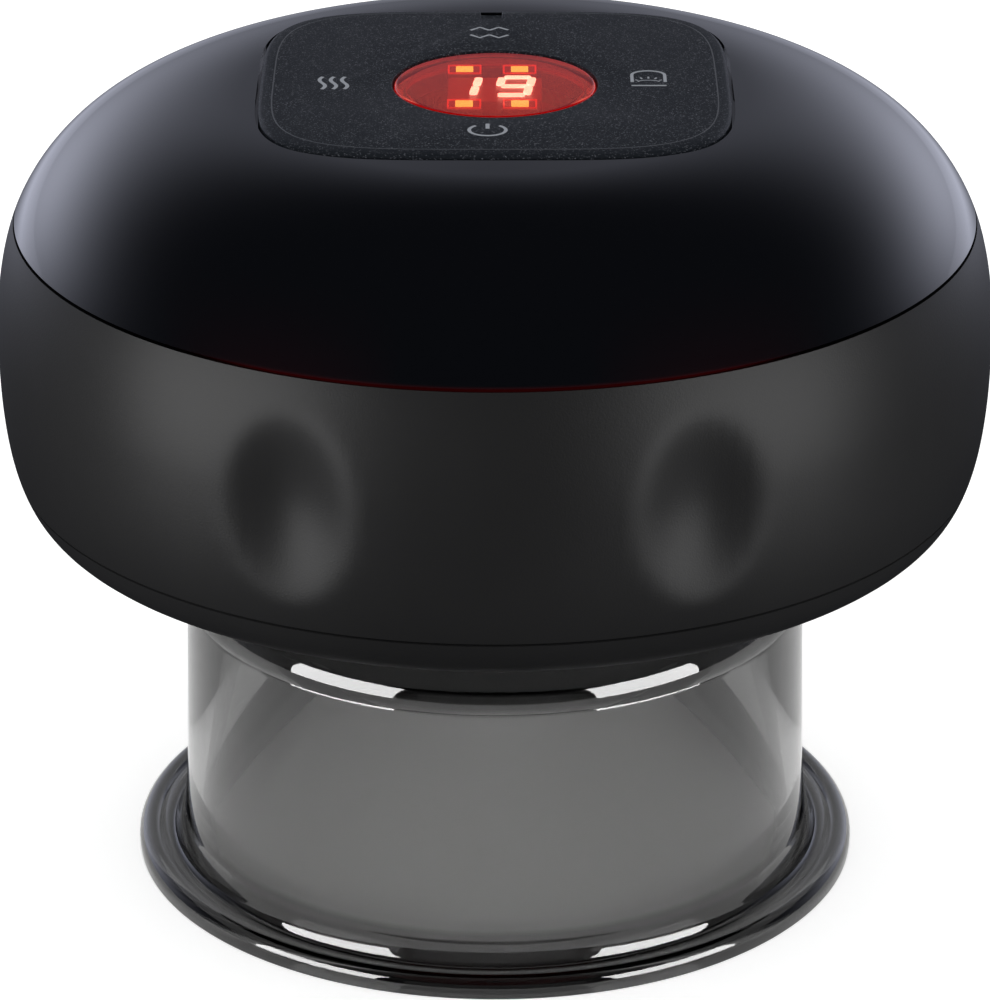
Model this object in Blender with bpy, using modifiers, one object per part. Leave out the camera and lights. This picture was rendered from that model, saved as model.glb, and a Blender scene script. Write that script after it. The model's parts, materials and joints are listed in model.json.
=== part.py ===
"""Electric cupping massager: a rounded head with a vacuum pump inside, on a smoked clear cup.

Metres, +Z up. The origin is the centre of the rim that rests on the skin, and the front faces -Y.
"""
import math

import bmesh
import bpy
from mathutils import Matrix, Vector

MM = 0.001
DEG = math.pi / 180
TURN = 2 * math.pi

# Fits shared by all pieces
GAP = 0.3 * MM
FIT = 0.15 * MM
WELD = 0.02 * MM
OVERRUN = 3.0 * MM

# Head, seen from the side: widest ring, seam to the dome, edge of the flat underside
HEAD_RADIUS = 52.0 * MM
HEAD_WIDE_Z = 59.7 * MM
SEAM_INSET = 2.05 * MM
SEAM_Z = 72.06 * MM
SEAM_LEAN = 0.40
UNDERSIDE_INSET = 6.1 * MM
UNDERSIDE_Z = 41.0 * MM
COVER_SEAM_Z = 45.56 * MM
CROWN_INSET = 26.0 * MM
CROWN_Z = 85.4 * MM
SEAM_PULL = 3.75 * MM
WIDE_PULL_UP = 3.95 * MM
WIDE_PULL_DOWN = 11.0 * MM
UNDERSIDE_PULL = 4.7 * MM
CROWN_PULL = 13.25 * MM
DOME_PULL = 7.8 * MM
HOUSING_WALL = 2.2 * MM
TONGUE_LENGTH = 2.5 * MM
TONGUE_WALL = 1.0 * MM

# Finger dimples, two at the front and two at the back
DIMPLE_Z = 58.6 * MM
DIMPLE_HEIGHT = 21.0 * MM
DIMPLE_WIDTH = 14.0 * MM
DIMPLE_DEPTH = 1.9 * MM
DIMPLE_AZIMUTH = 23.0 * DEG

# Touch panel on the crown, with its round window
PANEL_WIDTH = 48.5 * MM
PANEL_DEPTH = 46.4 * MM
PANEL_Y = 1.6 * MM
PANEL_SQUARENESS = 4.3
PANEL_STEPS = 40
PANEL_THICKNESS = 2.0 * MM
PANEL_PROUD = 0.5 * MM
PANEL_CHAMFER = 0.6 * MM
CROWN_FLOOR = 1.5 * MM
WINDOW_RADIUS = 10.6 * MM
WINDOW_Y = 0.1 * MM
WINDOW_THICKNESS = 1.9 * MM
WINDOW_CHAMFER = 0.4 * MM
WINDOW_LEDGE = 1.2 * MM
WINDOW_PLATE = 0.9 * MM
WINDOW_RIM = 1.1 * MM
KEY_SIDE_X = 16.2 * MM
KEY_SIDE_Y = 1.0 * MM
KEY_FRONT_Y = -14.6 * MM
KEY_REAR_Y = 16.6 * MM
KEY_HOLE_RADIUS = 2.6 * MM

# Main circuit board and what stands on it
BOARD_CLEARANCE = 12.95 * MM
BOARD_DEPTH = 2.3 * MM
BOARD_THICKNESS = 1.6 * MM
BOARD_BOSS_RADIUS = 3.0 * MM
SPRING_WIRE_RADIUS = 0.3 * MM
SPRING_COIL_RADIUS = 1.9 * MM
DISPLAY_BASE = 1.0 * MM
DIGITS_SIZE = (9.6 * MM, 7.4 * MM)
LED_SIZE = (1.6 * MM, 0.9 * MM)
LED_SPREAD = (2.95 * MM, 5.0 * MM)

# Socket under the head that takes the neck of the cup
SOCKET_RADIUS = 29.3 * MM
SOCKET_CEILING_Z = 48.8 * MM
SOCKET_WALL = 2.0 * MM
SOCKET_CHAMFER = 0.8 * MM
CEILING_THICKNESS = 2.2 * MM
LAMP_OPENING_RADIUS = 18.5 * MM
LAMP_LEDGE = 1.0 * MM
LAMP_WINDOW_LEDGE = 2.5 * MM
LAMP_WINDOW_THICKNESS = 1.0 * MM
LAMP_BOARD_INSET = 0.6 * MM
LAMP_BOARD_THICKNESS = 1.0 * MM
LAMP_LED_HEIGHT = 0.5 * MM
LAMP_LED_WIDTH = 2.8 * MM
LAMP_LED_PLACE = 14.0 * MM
LAMP_LED_COUNT = 8

# Suction port in the middle of the socket's ceiling
PORT_RADIUS = 3.0 * MM
PORT_FLANGE_RADIUS = 6.0 * MM
PORT_FLANGE_THICKNESS = 1.2 * MM
PORT_FILTER_BORE = 2.2 * MM
NOZZLE_RADIUS = 1.7 * MM
NOZZLE_BORE = 0.9 * MM
PORT_NOZZLE_TOP_Z = 57.5 * MM
FILTER_LENGTH = 1.8 * MM

# Cup: straight wall with a slight draft, rounded shoulder, neck for the seal, and rolled rim
CUP_TOP_RADIUS = 32.97 * MM
CUP_FOOT_RADIUS = 33.5 * MM
CUP_WALL = 2.0 * MM
SHOULDER_Z = 29.6 * MM
SHOULDER_TOP_Z = 34.3 * MM
NECK_CLEARANCE = 1.7 * MM
NECK_TOP_Z = 48.4 * MM
NECK_WALL = 2.4 * MM
GROOVE_LOW_Z = 43.6 * MM
GROOVE_HIGH_Z = 46.6 * MM
GROOVE_DEPTH = 1.2 * MM
RIM_RADIUS = 38.8 * MM
FLARE_Z = 4.2 * MM
CHANNEL_RADIUS = 35.2 * MM
CHANNEL_Z = 1.5 * MM
CREST_RADIUS = 36.9 * MM
CREST_Z = 2.3 * MM
RIM_EDGE_Z = 0.7 * MM
RIM_INNER_ROUND = 1.2 * MM
SEAL_HEIGHT = 2.4 * MM

# Screws
SCREW_RADIUS = 1.2 * MM
SCREW_HEAD_RADIUS = 2.3 * MM
SCREW_HEAD_HEIGHT = 1.5 * MM
COVER_SCREW_INSET = 9.6 * MM
COVER_SCREW_LENGTH = 6.5 * MM
COLUMN_RADIUS = 3.0 * MM
COLUMN_TOP_Z = 54.0 * MM
COVER_FLOOR_THICKNESS = 2.0 * MM
RECESS_DEPTH = 1.9 * MM

# Frame that carries the pump and the battery
FRAME_THICKNESS = 1.6 * MM
FRAME_CLEARANCE = 1.2 * MM
FRAME_INSET = 9.5 * MM
FRAME_LOBE = 3.8 * MM
FRAME_POST_INSET = 10.0 * MM
FRAME_POST_RADIUS = 2.6 * MM
SADDLE_X = 24.2 * MM
SADDLE_THICKNESS = 2.4 * MM
SADDLE_RISE = 6.0 * MM

# Battery, charging board and its socket
BATTERY_RADIUS = 9.2 * MM
BATTERY_LENGTH = 65.0 * MM
BATTERY_Y = 22.0 * MM
BATTERY_CAP_RADIUS = 3.0 * MM
BATTERY_CAP_HEIGHT = 0.9 * MM
CHARGE_BOARD_SIZE = (20.0 * MM, 13.0 * MM, 1.4 * MM)
USB_SIZE = (8.9 * MM, 7.3 * MM, 3.2 * MM)
USB_WALL = 0.35 * MM
USB_TONGUE = (6.4 * MM, 4.6 * MM, 0.7 * MM)
USB_INSET = 1.4 * MM

# Pump: everything stands along its own axis, which runs towards +X
PUMP_Y = -20.0 * MM
PUMP_RADIUS = 12.0 * MM
MOTOR_RADIUS = 11.0 * MM
MOTOR_WALL = 0.9 * MM
MOTOR_START = -31.0 * MM
MOTOR_END = -7.0 * MM
END_CAP_THICKNESS = 1.8 * MM
MAGNET_WALL = 2.0 * MM
MAGNET_LENGTH = 14.0 * MM
MAGNET_SPAN = 125.0 * DEG
ARMATURE_RADIUS = 7.3 * MM
ARMATURE_LENGTH = 12.0 * MM
ARMATURE_SLOT = 2.4 * MM
COMMUTATOR_RADIUS = 2.6 * MM
COMMUTATOR_LENGTH = 3.0 * MM
SHAFT_RADIUS = 1.0 * MM
BUSH_RADIUS = 2.6 * MM
BUSH_LENGTH = 2.4 * MM
CRANK_RADIUS = 4.6 * MM
CRANK_START = -5.0 * MM
CRANK_END = 1.0 * MM
SHAFT_BITE = 2.8 * MM
CRANK_TILT = 8.0 * DEG
WOBBLE_CENTRE = 5.6 * MM
PIN_RADIUS = 0.75 * MM
PIN_BITE = 2.6 * MM
WOBBLE_THICKNESS = 1.2 * MM
WOBBLE_HUB_RADIUS = 2.3 * MM
WOBBLE_HUB_LENGTH = 3.4 * MM
CHAMBER_PLACE = 6.5 * MM
CHAMBER_RADIUS = 3.3 * MM
WOBBLE_ARM_RADIUS = 1.9 * MM
CASE_START = -6.7 * MM
CASE_WALL = 1.2 * MM
CASE_END = 9.0 * MM
CHAMBER_BLOCK_THICKNESS = 2.6 * MM
DIAPHRAGM_THICKNESS = 1.2 * MM
DIAPHRAGM_WALL = 0.7 * MM
CUP_FLOOR_X = 10.2 * MM
STEM_RADIUS = 0.9 * MM
VALVE_PLATE_THICKNESS = 1.8 * MM
VALVE_PORT_RADIUS = 0.8 * MM
VALVE_FLAP_RADIUS = 2.4 * MM
VALVE_FLAP_THICKNESS = 0.6 * MM
PUMP_HEAD_THICKNESS = 4.2 * MM
PUMP_HEAD_WALL = 1.4 * MM
PUMP_NOZZLE_LENGTH = 5.0 * MM
PUMP_NOZZLE_PLACE = 4.0 * MM
PUMP_SCREW_PLACE = 9.6 * MM
PUMP_SCREW_RADIUS = 0.8 * MM
PUMP_SCREW_HEAD_RADIUS = 1.5 * MM
PUMP_SCREW_HEAD_HEIGHT = 1.0 * MM
PUMP_PILLAR_RADIUS = 1.9 * MM
PUMP_PILLAR_LENGTH = 5.0 * MM

# Release valve, along X behind the tee
VALVE_Z = 66.0 * MM
VALVE_FRONT_X = -13.6 * MM
VALVE_FRONT_THICKNESS = 1.6 * MM
YOKE_LENGTH = 17.0 * MM
YOKE_WALL = 1.0 * MM
YOKE_WIDTH = 12.4 * MM
COIL_RADIUS = 4.6 * MM
BOBBIN_FLANGE = 1.0 * MM
BOBBIN_RADIUS = 3.1 * MM
PLUNGER_RADIUS = 2.0 * MM
PLUNGER_LENGTH = 7.4 * MM
CORE_LENGTH = 3.6 * MM
RETURN_SPRING_RADIUS = 1.3 * MM

# Air lines
TUBE_RADIUS = 2.8 * MM
TUBE_LOOSENESS = 0.35 * MM
TUBE_OVER = 2.6 * MM
TEE_ARM = 6.4 * MM
TEE_BODY_RADIUS = 2.4 * MM

# Radii and places that follow from the sizes above
SEAM_RADIUS = HEAD_RADIUS - SEAM_INSET
UNDERSIDE_RADIUS = HEAD_RADIUS - UNDERSIDE_INSET
CROWN_RADIUS = HEAD_RADIUS - CROWN_INSET
BOARD_RADIUS = SEAM_RADIUS - BOARD_CLEARANCE
BOARD_BOSS_PLACE = BOARD_RADIUS - BOARD_BOSS_RADIUS
COVER_SCREW_PLACE = HEAD_RADIUS - COVER_SCREW_INSET
FRAME_RADIUS = HEAD_RADIUS - FRAME_INSET
FRAME_POST_PLACE = HEAD_RADIUS - FRAME_POST_INSET
FRAME_INNER_RADIUS = SOCKET_RADIUS + SOCKET_WALL + FRAME_CLEARANCE
USB_FACE_Y = HEAD_RADIUS - USB_INSET
LAMP_WINDOW_RADIUS = LAMP_OPENING_RADIUS + LAMP_WINDOW_LEDGE
LAMP_BOARD_RADIUS = LAMP_WINDOW_RADIUS - LAMP_BOARD_INSET
NECK_RADIUS = SOCKET_RADIUS - NECK_CLEARANCE
SEAL_OUTER_RADIUS = SOCKET_RADIUS - GAP
TUBE_BORE = NOZZLE_RADIUS + TUBE_LOOSENESS

# Heights that follow from the sizes above
CEILING_TOP_Z = SOCKET_CEILING_Z + CEILING_THICKNESS
LAMP_WINDOW_Z = SOCKET_CEILING_Z + LAMP_LEDGE + GAP
LAMP_BOARD_Z = LAMP_WINDOW_Z + LAMP_WINDOW_THICKNESS + FIT + LAMP_LED_HEIGHT
LAMP_BOARD_TOP_Z = LAMP_BOARD_Z + LAMP_BOARD_THICKNESS
FRAME_Z = CEILING_TOP_Z + GAP
FRAME_TOP_Z = FRAME_Z + FRAME_THICKNESS
PUMP_Z = LAMP_BOARD_TOP_Z + GAP + PUMP_RADIUS
BATTERY_Z = LAMP_BOARD_TOP_Z + GAP + BATTERY_RADIUS
PANEL_TOP_Z = CROWN_Z + PANEL_PROUD
PANEL_Z = PANEL_TOP_Z - PANEL_THICKNESS
POCKET_Z = PANEL_Z - GAP
CROWN_FLOOR_Z = POCKET_Z - CROWN_FLOOR
WINDOW_TOP_Z = POCKET_Z + GAP + WINDOW_THICKNESS
DISPLAY_TOP_Z = WINDOW_TOP_Z - WINDOW_PLATE - GAP
BOARD_TOP_Z = CROWN_FLOOR_Z - BOARD_DEPTH
BOARD_Z = BOARD_TOP_Z - BOARD_THICKNESS
CHARGE_BOARD_Z = FRAME_TOP_Z + GAP
USB_Z = CHARGE_BOARD_Z + CHARGE_BOARD_SIZE[2] + GAP + USB_SIZE[2] / 2
CHAMBER_BLOCK_X = CASE_END + GAP
DIAPHRAGM_X = CHAMBER_BLOCK_X + CHAMBER_BLOCK_THICKNESS + GAP
VALVE_PLATE_X = DIAPHRAGM_X + DIAPHRAGM_THICKNESS + GAP
PUMP_HEAD_X = VALVE_PLATE_X + VALVE_PLATE_THICKNESS + GAP
PUMP_FACE_X = PUMP_HEAD_X + PUMP_HEAD_THICKNESS
PUMP_NOZZLE_X = PUMP_FACE_X + PUMP_NOZZLE_LENGTH
HEAD_STEPS = 40
CUP_STEPS = 36
PUMP_STEPS = 24
LAMP_STEPS = 28
HUB_SIDES = 16
ROUND_SIDES = 12
PILLAR_SIDES = 10
HOLE_SIDES = 8
SCREW_HOLE_SIDES = 6
CHAMBER_ANGLES = (0, TURN / 3, 2 * TURN / 3)
SCREW_ANGLES = tuple(angle + TURN / 6 for angle in CHAMBER_ANGLES)
COLUMN_ANGLES = tuple(TURN * share / 8 for share in (1, 3, 5, 7))
POST_ANGLES = (0, TURN / 2, 3 * TURN / 4)
BOSS_ANGLES = tuple(TURN * share / 4 for share in range(4))

MODEL = None
CUTTERS = None


def clear_scene():
    for old in list(bpy.data.objects):
        bpy.data.objects.remove(old, do_unlink=True)


def new_collection(name):
    made = bpy.data.collections.new(name)
    bpy.context.scene.collection.children.link(made)
    return made


def material(name, colour, roughness, metallic=0.0, alpha=1.0):
    found = bpy.data.materials.get(name)
    if found:
        return found
    made = bpy.data.materials.new(name)
    made.use_nodes = True
    shader = made.node_tree.nodes["Principled BSDF"]
    shader.inputs["Base Color"].default_value = (*colour, 1.0)
    shader.inputs["Roughness"].default_value = roughness
    shader.inputs["Metallic"].default_value = metallic
    shader.inputs["Alpha"].default_value = alpha
    made.diffuse_color = (*colour, alpha)
    made.roughness = roughness
    made.metallic = metallic
    return made


def matte_black():
    return material("soft_touch_black", (0.016, 0.016, 0.017), 0.55)


def gloss_black():
    return material("smoked_gloss_black", (0.006, 0.006, 0.009), 0.06)


def panel_grey():
    return material("textured_panel_grey", (0.020, 0.023, 0.030), 0.45)


def red_lens():
    return material("red_lens", (0.45, 0.02, 0.01), 0.08)


def smoked_clear():
    return material("smoked_clear_plastic", (0.10, 0.10, 0.10), 0.05, alpha=0.5)


def silicone():
    return material("grey_silicone", (0.08, 0.08, 0.085), 0.6)


def clear_silicone():
    return material("milky_silicone", (0.75, 0.76, 0.74), 0.45)


def black_rubber():
    return material("black_rubber", (0.02, 0.02, 0.02), 0.8)


def white_nylon():
    return material("white_nylon", (0.80, 0.80, 0.77), 0.5)


def board_green():
    return material("circuit_board", (0.02, 0.16, 0.06), 0.4)


def steel():
    return material("steel", (0.62, 0.62, 0.60), 0.3, 1.0)


def zinc_steel():
    return material("zinc_steel", (0.70, 0.71, 0.72), 0.35, 1.0)


def copper():
    return material("copper_winding", (0.72, 0.28, 0.12), 0.35, 1.0)


def bronze():
    return material("sintered_bronze", (0.55, 0.36, 0.18), 0.5, 1.0)


def ferrite():
    return material("ferrite", (0.07, 0.07, 0.075), 0.7)


def battery_wrap():
    return material("battery_wrap", (0.10, 0.30, 0.55), 0.35)


def led_amber():
    return material("led_amber", (0.95, 0.45, 0.05), 0.3)


def foam():
    return material("filter_foam", (0.25, 0.25, 0.26), 0.95)


def shade_smooth(mesh, angle=35 * DEG):
    mesh.shade_smooth()
    mesh.set_sharp_from_angle(angle=angle)


def place(name, mesh, finish, at=(0, 0, 0), turn=(0, 0, 0), parent=None):
    made = bpy.data.objects.new(name, mesh)
    MODEL.objects.link(made)
    made.location = at
    made.rotation_euler = turn
    made.parent = parent
    if finish:
        mesh.materials.append(finish)
    return made


def empty(name, at=(0, 0, 0), turn=(0, 0, 0), parent=None):
    made = bpy.data.objects.new(name, None)
    MODEL.objects.link(made)
    made.location = at
    made.rotation_euler = turn
    made.parent = parent
    return made


def realised(scratch):
    """The evaluated mesh of an object, which is then removed, in that object's own space."""
    bpy.context.view_layer.update()
    graph = bpy.context.evaluated_depsgraph_get()
    mesh = bpy.data.meshes.new_from_object(scratch.evaluated_get(graph))
    data = scratch.data
    bpy.data.objects.remove(scratch)
    if isinstance(data, bpy.types.Curve):
        bpy.data.curves.remove(data)
    welded = bmesh.new()
    welded.from_mesh(mesh)
    bmesh.ops.remove_doubles(welded, verts=welded.verts, dist=WELD)
    bmesh.ops.recalc_face_normals(welded, faces=welded.faces)
    welded.to_mesh(mesh)
    welded.free()
    mesh.materials.clear()
    return mesh


def turned_mesh(profile, steps, closed=False, start=0.0):
    """Turns profile points (radius, height) about Z. They run clockwise, down the outer side."""
    line = bpy.data.meshes.new("profile")
    points = [(r * math.cos(start), r * math.sin(start), z) for r, z in profile]
    edges = [(i, i + 1) for i in range(len(points) - 1)]
    if closed:
        edges.append((len(points) - 1, 0))
    line.from_pydata(points, edges, [])
    scratch = bpy.data.objects.new("profile", line)
    MODEL.objects.link(scratch)
    spin = scratch.modifiers.new("turn", "SCREW")
    spin.steps = steps
    spin.render_steps = steps
    spin.use_merge_vertices = True
    spin.merge_threshold = WELD
    mesh = realised(scratch)
    shade_smooth(mesh)
    return mesh


def turned(name, profile, steps, finish, closed=False, **where):
    return place(name, turned_mesh(profile, steps, closed), finish, **where)


def ring_profile(outer, inner, low, high):
    return [(outer, high), (outer, low), (inner, low), (inner, high)]


def disc_profile(radius, low, high, chamfer=0.0):
    if not chamfer:
        return [(0, high), (radius, high), (radius, low), (0, low)]
    return [
        (0, high),
        (radius - chamfer, high),
        (radius, high - chamfer),
        (radius, low),
        (0, low),
    ]


def circle(radius, count, at=(0, 0), start=0.0):
    return [
        (
            at[0] + radius * math.cos(start + TURN * i / count),
            at[1] + radius * math.sin(start + TURN * i / count),
        )
        for i in range(count)
    ]


def rounded_box(width, depth, corner, count):
    """Outline with four round corners, counted from the right side."""
    points = []
    for quarter in range(4):
        middle = TURN * (quarter + 0.5) / 4
        side_x = math.copysign(width / 2 - corner, math.cos(middle))
        side_y = math.copysign(depth / 2 - corner, math.sin(middle))
        for i in range(count + 1):
            angle = TURN * (quarter + i / count) / 4
            points.append((side_x + corner * math.cos(angle), side_y + corner * math.sin(angle)))
    return points


def soft_square(width, depth, count):
    """Outline between an ellipse and a rectangle, counted from the right side."""
    points = []
    for i in range(count):
        across, along = polar(1, TURN * i / count)
        points.append(
            (
                math.copysign(width / 2 * abs(across) ** (2 / PANEL_SQUARENESS), across),
                math.copysign(depth / 2 * abs(along) ** (2 / PANEL_SQUARENESS), along),
            )
        )
    return points


def plate_mesh(outlines, thickness):
    """Flat outlines, the inner ones as holes, filled and made this thick about Z = 0."""
    curve = bpy.data.curves.new("outline", "CURVE")
    curve.dimensions = "2D"
    curve.fill_mode = "BOTH"
    curve.extrude = thickness / 2
    for outline in outlines:
        spline = curve.splines.new("POLY")
        spline.points.add(len(outline) - 1)
        for point, (x, y) in zip(spline.points, outline):
            point.co = (x, y, 0, 1)
        spline.use_cyclic_u = True
    scratch = bpy.data.objects.new("outline", curve)
    MODEL.objects.link(scratch)
    mesh = realised(scratch)
    shade_smooth(mesh)
    return mesh


def plate(name, outlines, low, thickness, finish, at=(0, 0), parent=None):
    mesh = plate_mesh(outlines, thickness)
    return place(name, mesh, finish, at=(*at, low + thickness / 2), parent=parent)


def box_mesh(size):
    made = bmesh.new()
    bmesh.ops.create_cube(made, size=1)
    bmesh.ops.scale(made, vec=Vector(size), verts=made.verts)
    mesh = bpy.data.meshes.new("box")
    made.to_mesh(mesh)
    made.free()
    return mesh


def rod_mesh(radius, length, sides, tip=None):
    made = bmesh.new()
    tip = radius if tip is None else tip
    bmesh.ops.create_cone(
        made, cap_ends=True, segments=sides, radius1=radius, radius2=tip, depth=length
    )
    mesh = bpy.data.meshes.new("rod")
    made.to_mesh(mesh)
    made.free()
    shade_smooth(mesh)
    return mesh


def cutter(target, mesh, at=(0, 0, 0), turn=(0, 0, 0), operation="DIFFERENCE"):
    """Cuts the mesh from the target, or joins it, at a place in the target's own space."""
    helper = bpy.data.objects.new("cut_" + target.name, mesh)
    CUTTERS.objects.link(helper)
    helper.parent = target
    helper.location = at
    helper.rotation_euler = turn
    helper.hide_render = True
    helper.display_type = "WIRE"
    change = target.modifiers.new(operation.lower(), "BOOLEAN")
    change.operation = operation
    change.object = helper
    change.solver = "EXACT"
    return helper


def join(target, mesh, at=(0, 0, 0), turn=(0, 0, 0)):
    return cutter(target, mesh, at, turn, "UNION")


def bezier(first, pull_first, pull_last, last, count, begin=0.0, end=1.0):
    """Points on a cubic curve from begin to end, each share counted along its parameter."""
    points = []
    for i in range(count):
        t = begin + (end - begin) * i / (count - 1)
        s = 1 - t
        points.append(
            tuple(
                s**3 * a + 3 * s * s * t * b + 3 * s * t * t * c + t**3 * d
                for a, b, c, d in zip(first, pull_first, pull_last, last)
            )
        )
    return points


def inset(points, wall):
    """The same run of points moved to the right of its direction by the wall's thickness."""
    moved = []
    for i, (r, z) in enumerate(points):
        before = points[max(i - 1, 0)]
        after = points[min(i + 1, len(points) - 1)]
        run = Vector((after[0] - before[0], after[1] - before[1])).normalized()
        moved.append((r + run.y * wall, z - run.x * wall))
    return moved


def polar(radius, angle):
    return radius * math.cos(angle), radius * math.sin(angle)


def seam_direction():
    return math.sin(SEAM_LEAN), -math.cos(SEAM_LEAN)


def dome_curve():
    run = seam_direction()
    return (
        (CROWN_RADIUS, CROWN_Z),
        (CROWN_RADIUS + CROWN_PULL, CROWN_Z),
        (SEAM_RADIUS - run[0] * DOME_PULL, SEAM_Z - run[1] * DOME_PULL),
        (SEAM_RADIUS, SEAM_Z),
    )


def upper_curve():
    run = seam_direction()
    return (
        (SEAM_RADIUS, SEAM_Z),
        (SEAM_RADIUS + run[0] * SEAM_PULL, SEAM_Z + run[1] * SEAM_PULL),
        (HEAD_RADIUS, HEAD_WIDE_Z + WIDE_PULL_UP),
        (HEAD_RADIUS, HEAD_WIDE_Z),
    )


def lower_curve():
    return (
        (HEAD_RADIUS, HEAD_WIDE_Z),
        (HEAD_RADIUS, HEAD_WIDE_Z - WIDE_PULL_DOWN),
        (UNDERSIDE_RADIUS + UNDERSIDE_PULL, UNDERSIDE_Z),
        (UNDERSIDE_RADIUS, UNDERSIDE_Z),
    )


def share_at(curve, height):
    """How far along a falling curve it passes this height, found by halving."""
    low, high = 0.0, 1.0
    for _ in range(40):
        middle = (low + high) / 2
        if bezier(*curve, 2, middle, middle)[0][1] > height:
            low = middle
        else:
            high = middle
    return low


def dimple_depth(x, y, z):
    """How far the finger dimples press the wall in at a point of it."""
    azimuth = math.atan2(abs(x), abs(y))
    across = (azimuth - DIMPLE_AZIMUTH) * math.hypot(x, y) / (DIMPLE_WIDTH / 2)
    along = (z - DIMPLE_Z) / (DIMPLE_HEIGHT / 2)
    reach = across * across + along * along
    if reach >= 1:
        return 0.0
    return DIMPLE_DEPTH * (1 - reach) ** 1.3


def press_dimples(mesh):
    """Halves the faces round each dimple, then moves their corners inwards."""
    work = bmesh.new()
    work.from_mesh(mesh)
    near = [
        face
        for face in work.faces
        if any(dimple_depth(*vert.co) > 0 for vert in face.verts)
        or dimple_depth(*face.calc_center_median()) > 0
    ]
    edges = list({edge for face in near for edge in face.edges})
    bmesh.ops.subdivide_edges(work, edges=edges, cuts=1, use_grid_fill=True)
    for vert in work.verts:
        depth = dimple_depth(*vert.co)
        out = Vector((vert.co.x, vert.co.y, 0)).normalized()
        vert.co -= out * depth
    work.to_mesh(mesh)
    work.free()


def make_housing():
    upper = upper_curve()
    lower = lower_curve()
    begin = share_at(upper, SEAM_Z - GAP / 2)
    end = share_at(lower, COVER_SEAM_Z + GAP / 2)
    profile = bezier(*upper, 4, begin, 1)[:-1] + bezier(*lower, 5, 0, end)
    mesh = turned_mesh(profile, HEAD_STEPS)
    press_dimples(mesh)
    shade_smooth(mesh, 50 * DEG)
    housing = place("housing_shell", mesh, matte_black())
    wall = housing.modifiers.new("wall", "SOLIDIFY")
    wall.thickness = HOUSING_WALL
    wall.offset = -1
    column_low = UNDERSIDE_Z + 2 * COVER_FLOOR_THICKNESS + GAP
    rib_low = COVER_SEAM_Z + TONGUE_LENGTH + 5 * GAP
    reach = HEAD_RADIUS - HOUSING_WALL - COVER_SCREW_PLACE + GAP
    for angle in COLUMN_ANGLES:
        column = rod_mesh(COLUMN_RADIUS, COLUMN_TOP_Z - column_low, PILLAR_SIDES)
        spot = polar(COVER_SCREW_PLACE, angle)
        join(housing, column, (*spot, (COLUMN_TOP_Z + column_low) / 2))
        rib = box_mesh((reach, COLUMN_RADIUS, COLUMN_TOP_Z - rib_low))
        middle = polar(COVER_SCREW_PLACE + reach / 2, angle)
        join(housing, rib, (*middle, (COLUMN_TOP_Z + rib_low) / 2), (0, 0, angle))
        hole = rod_mesh(SCREW_RADIUS + FIT, 2 * COVER_SCREW_LENGTH, HOLE_SIDES)
        cutter(housing, hole, (*spot, column_low))
    mouth = rounded_box(USB_SIZE[0] + 2 * GAP, USB_SIZE[2] + 2 * GAP, USB_SIZE[2] / 2, 4)
    depth = HEAD_RADIUS - USB_FACE_Y + HOUSING_WALL + 2 * OVERRUN
    cutter(housing, plate_mesh([mouth], depth), (0, HEAD_RADIUS, USB_Z), (TURN / 4, 0, 0))


def make_dome():
    curve = dome_curve()
    inner_wall = HOUSING_WALL + GAP + TONGUE_WALL
    outer = bezier(*curve, 8, 0, share_at(curve, SEAM_Z + GAP / 2))
    inner = [p for p in inset(outer, inner_wall) if p[1] < CROWN_FLOOR_Z - GAP]
    rim = (outer[-1][0] - HOUSING_WALL - GAP, inset(outer, HOUSING_WALL)[-1][1])
    tip = (rim[0], rim[1] - TONGUE_LENGTH)
    back = (tip[0] - TONGUE_WALL, tip[1])
    profile = [(0, CROWN_Z)] + outer + [rim, tip, back] + inner[::-1]
    profile += [(CROWN_RADIUS, CROWN_FLOOR_Z), (0, CROWN_FLOOR_Z)]
    dome = turned("dome_cover", profile, HEAD_STEPS, gloss_black())
    pocket = soft_square(PANEL_WIDTH + 2 * GAP, PANEL_DEPTH + 2 * GAP, PANEL_STEPS)
    height = PANEL_THICKNESS + OVERRUN
    cutter(dome, plate_mesh([pocket], height), (0, PANEL_Y, POCKET_Z + height / 2))
    opening = rod_mesh(WINDOW_RADIUS - WINDOW_LEDGE, 2 * OVERRUN, PUMP_STEPS)
    cutter(dome, opening, (0, WINDOW_Y, POCKET_Z))
    for x, y in key_places():
        cutter(dome, rod_mesh(KEY_HOLE_RADIUS, 2 * OVERRUN, ROUND_SIDES), (x, y, POCKET_Z))
    low = BOARD_TOP_Z + GAP
    height = CROWN_FLOOR_Z + GAP - low
    for angle in BOSS_ANGLES:
        spot = polar(BOARD_BOSS_PLACE, angle)
        join(dome, rod_mesh(BOARD_BOSS_RADIUS, height, ROUND_SIDES), (*spot, low + height / 2))


def key_places():
    return (
        (-KEY_SIDE_X, KEY_SIDE_Y),
        (KEY_SIDE_X, KEY_SIDE_Y),
        (0, KEY_FRONT_Y),
        (0, KEY_REAR_Y),
    )


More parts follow.
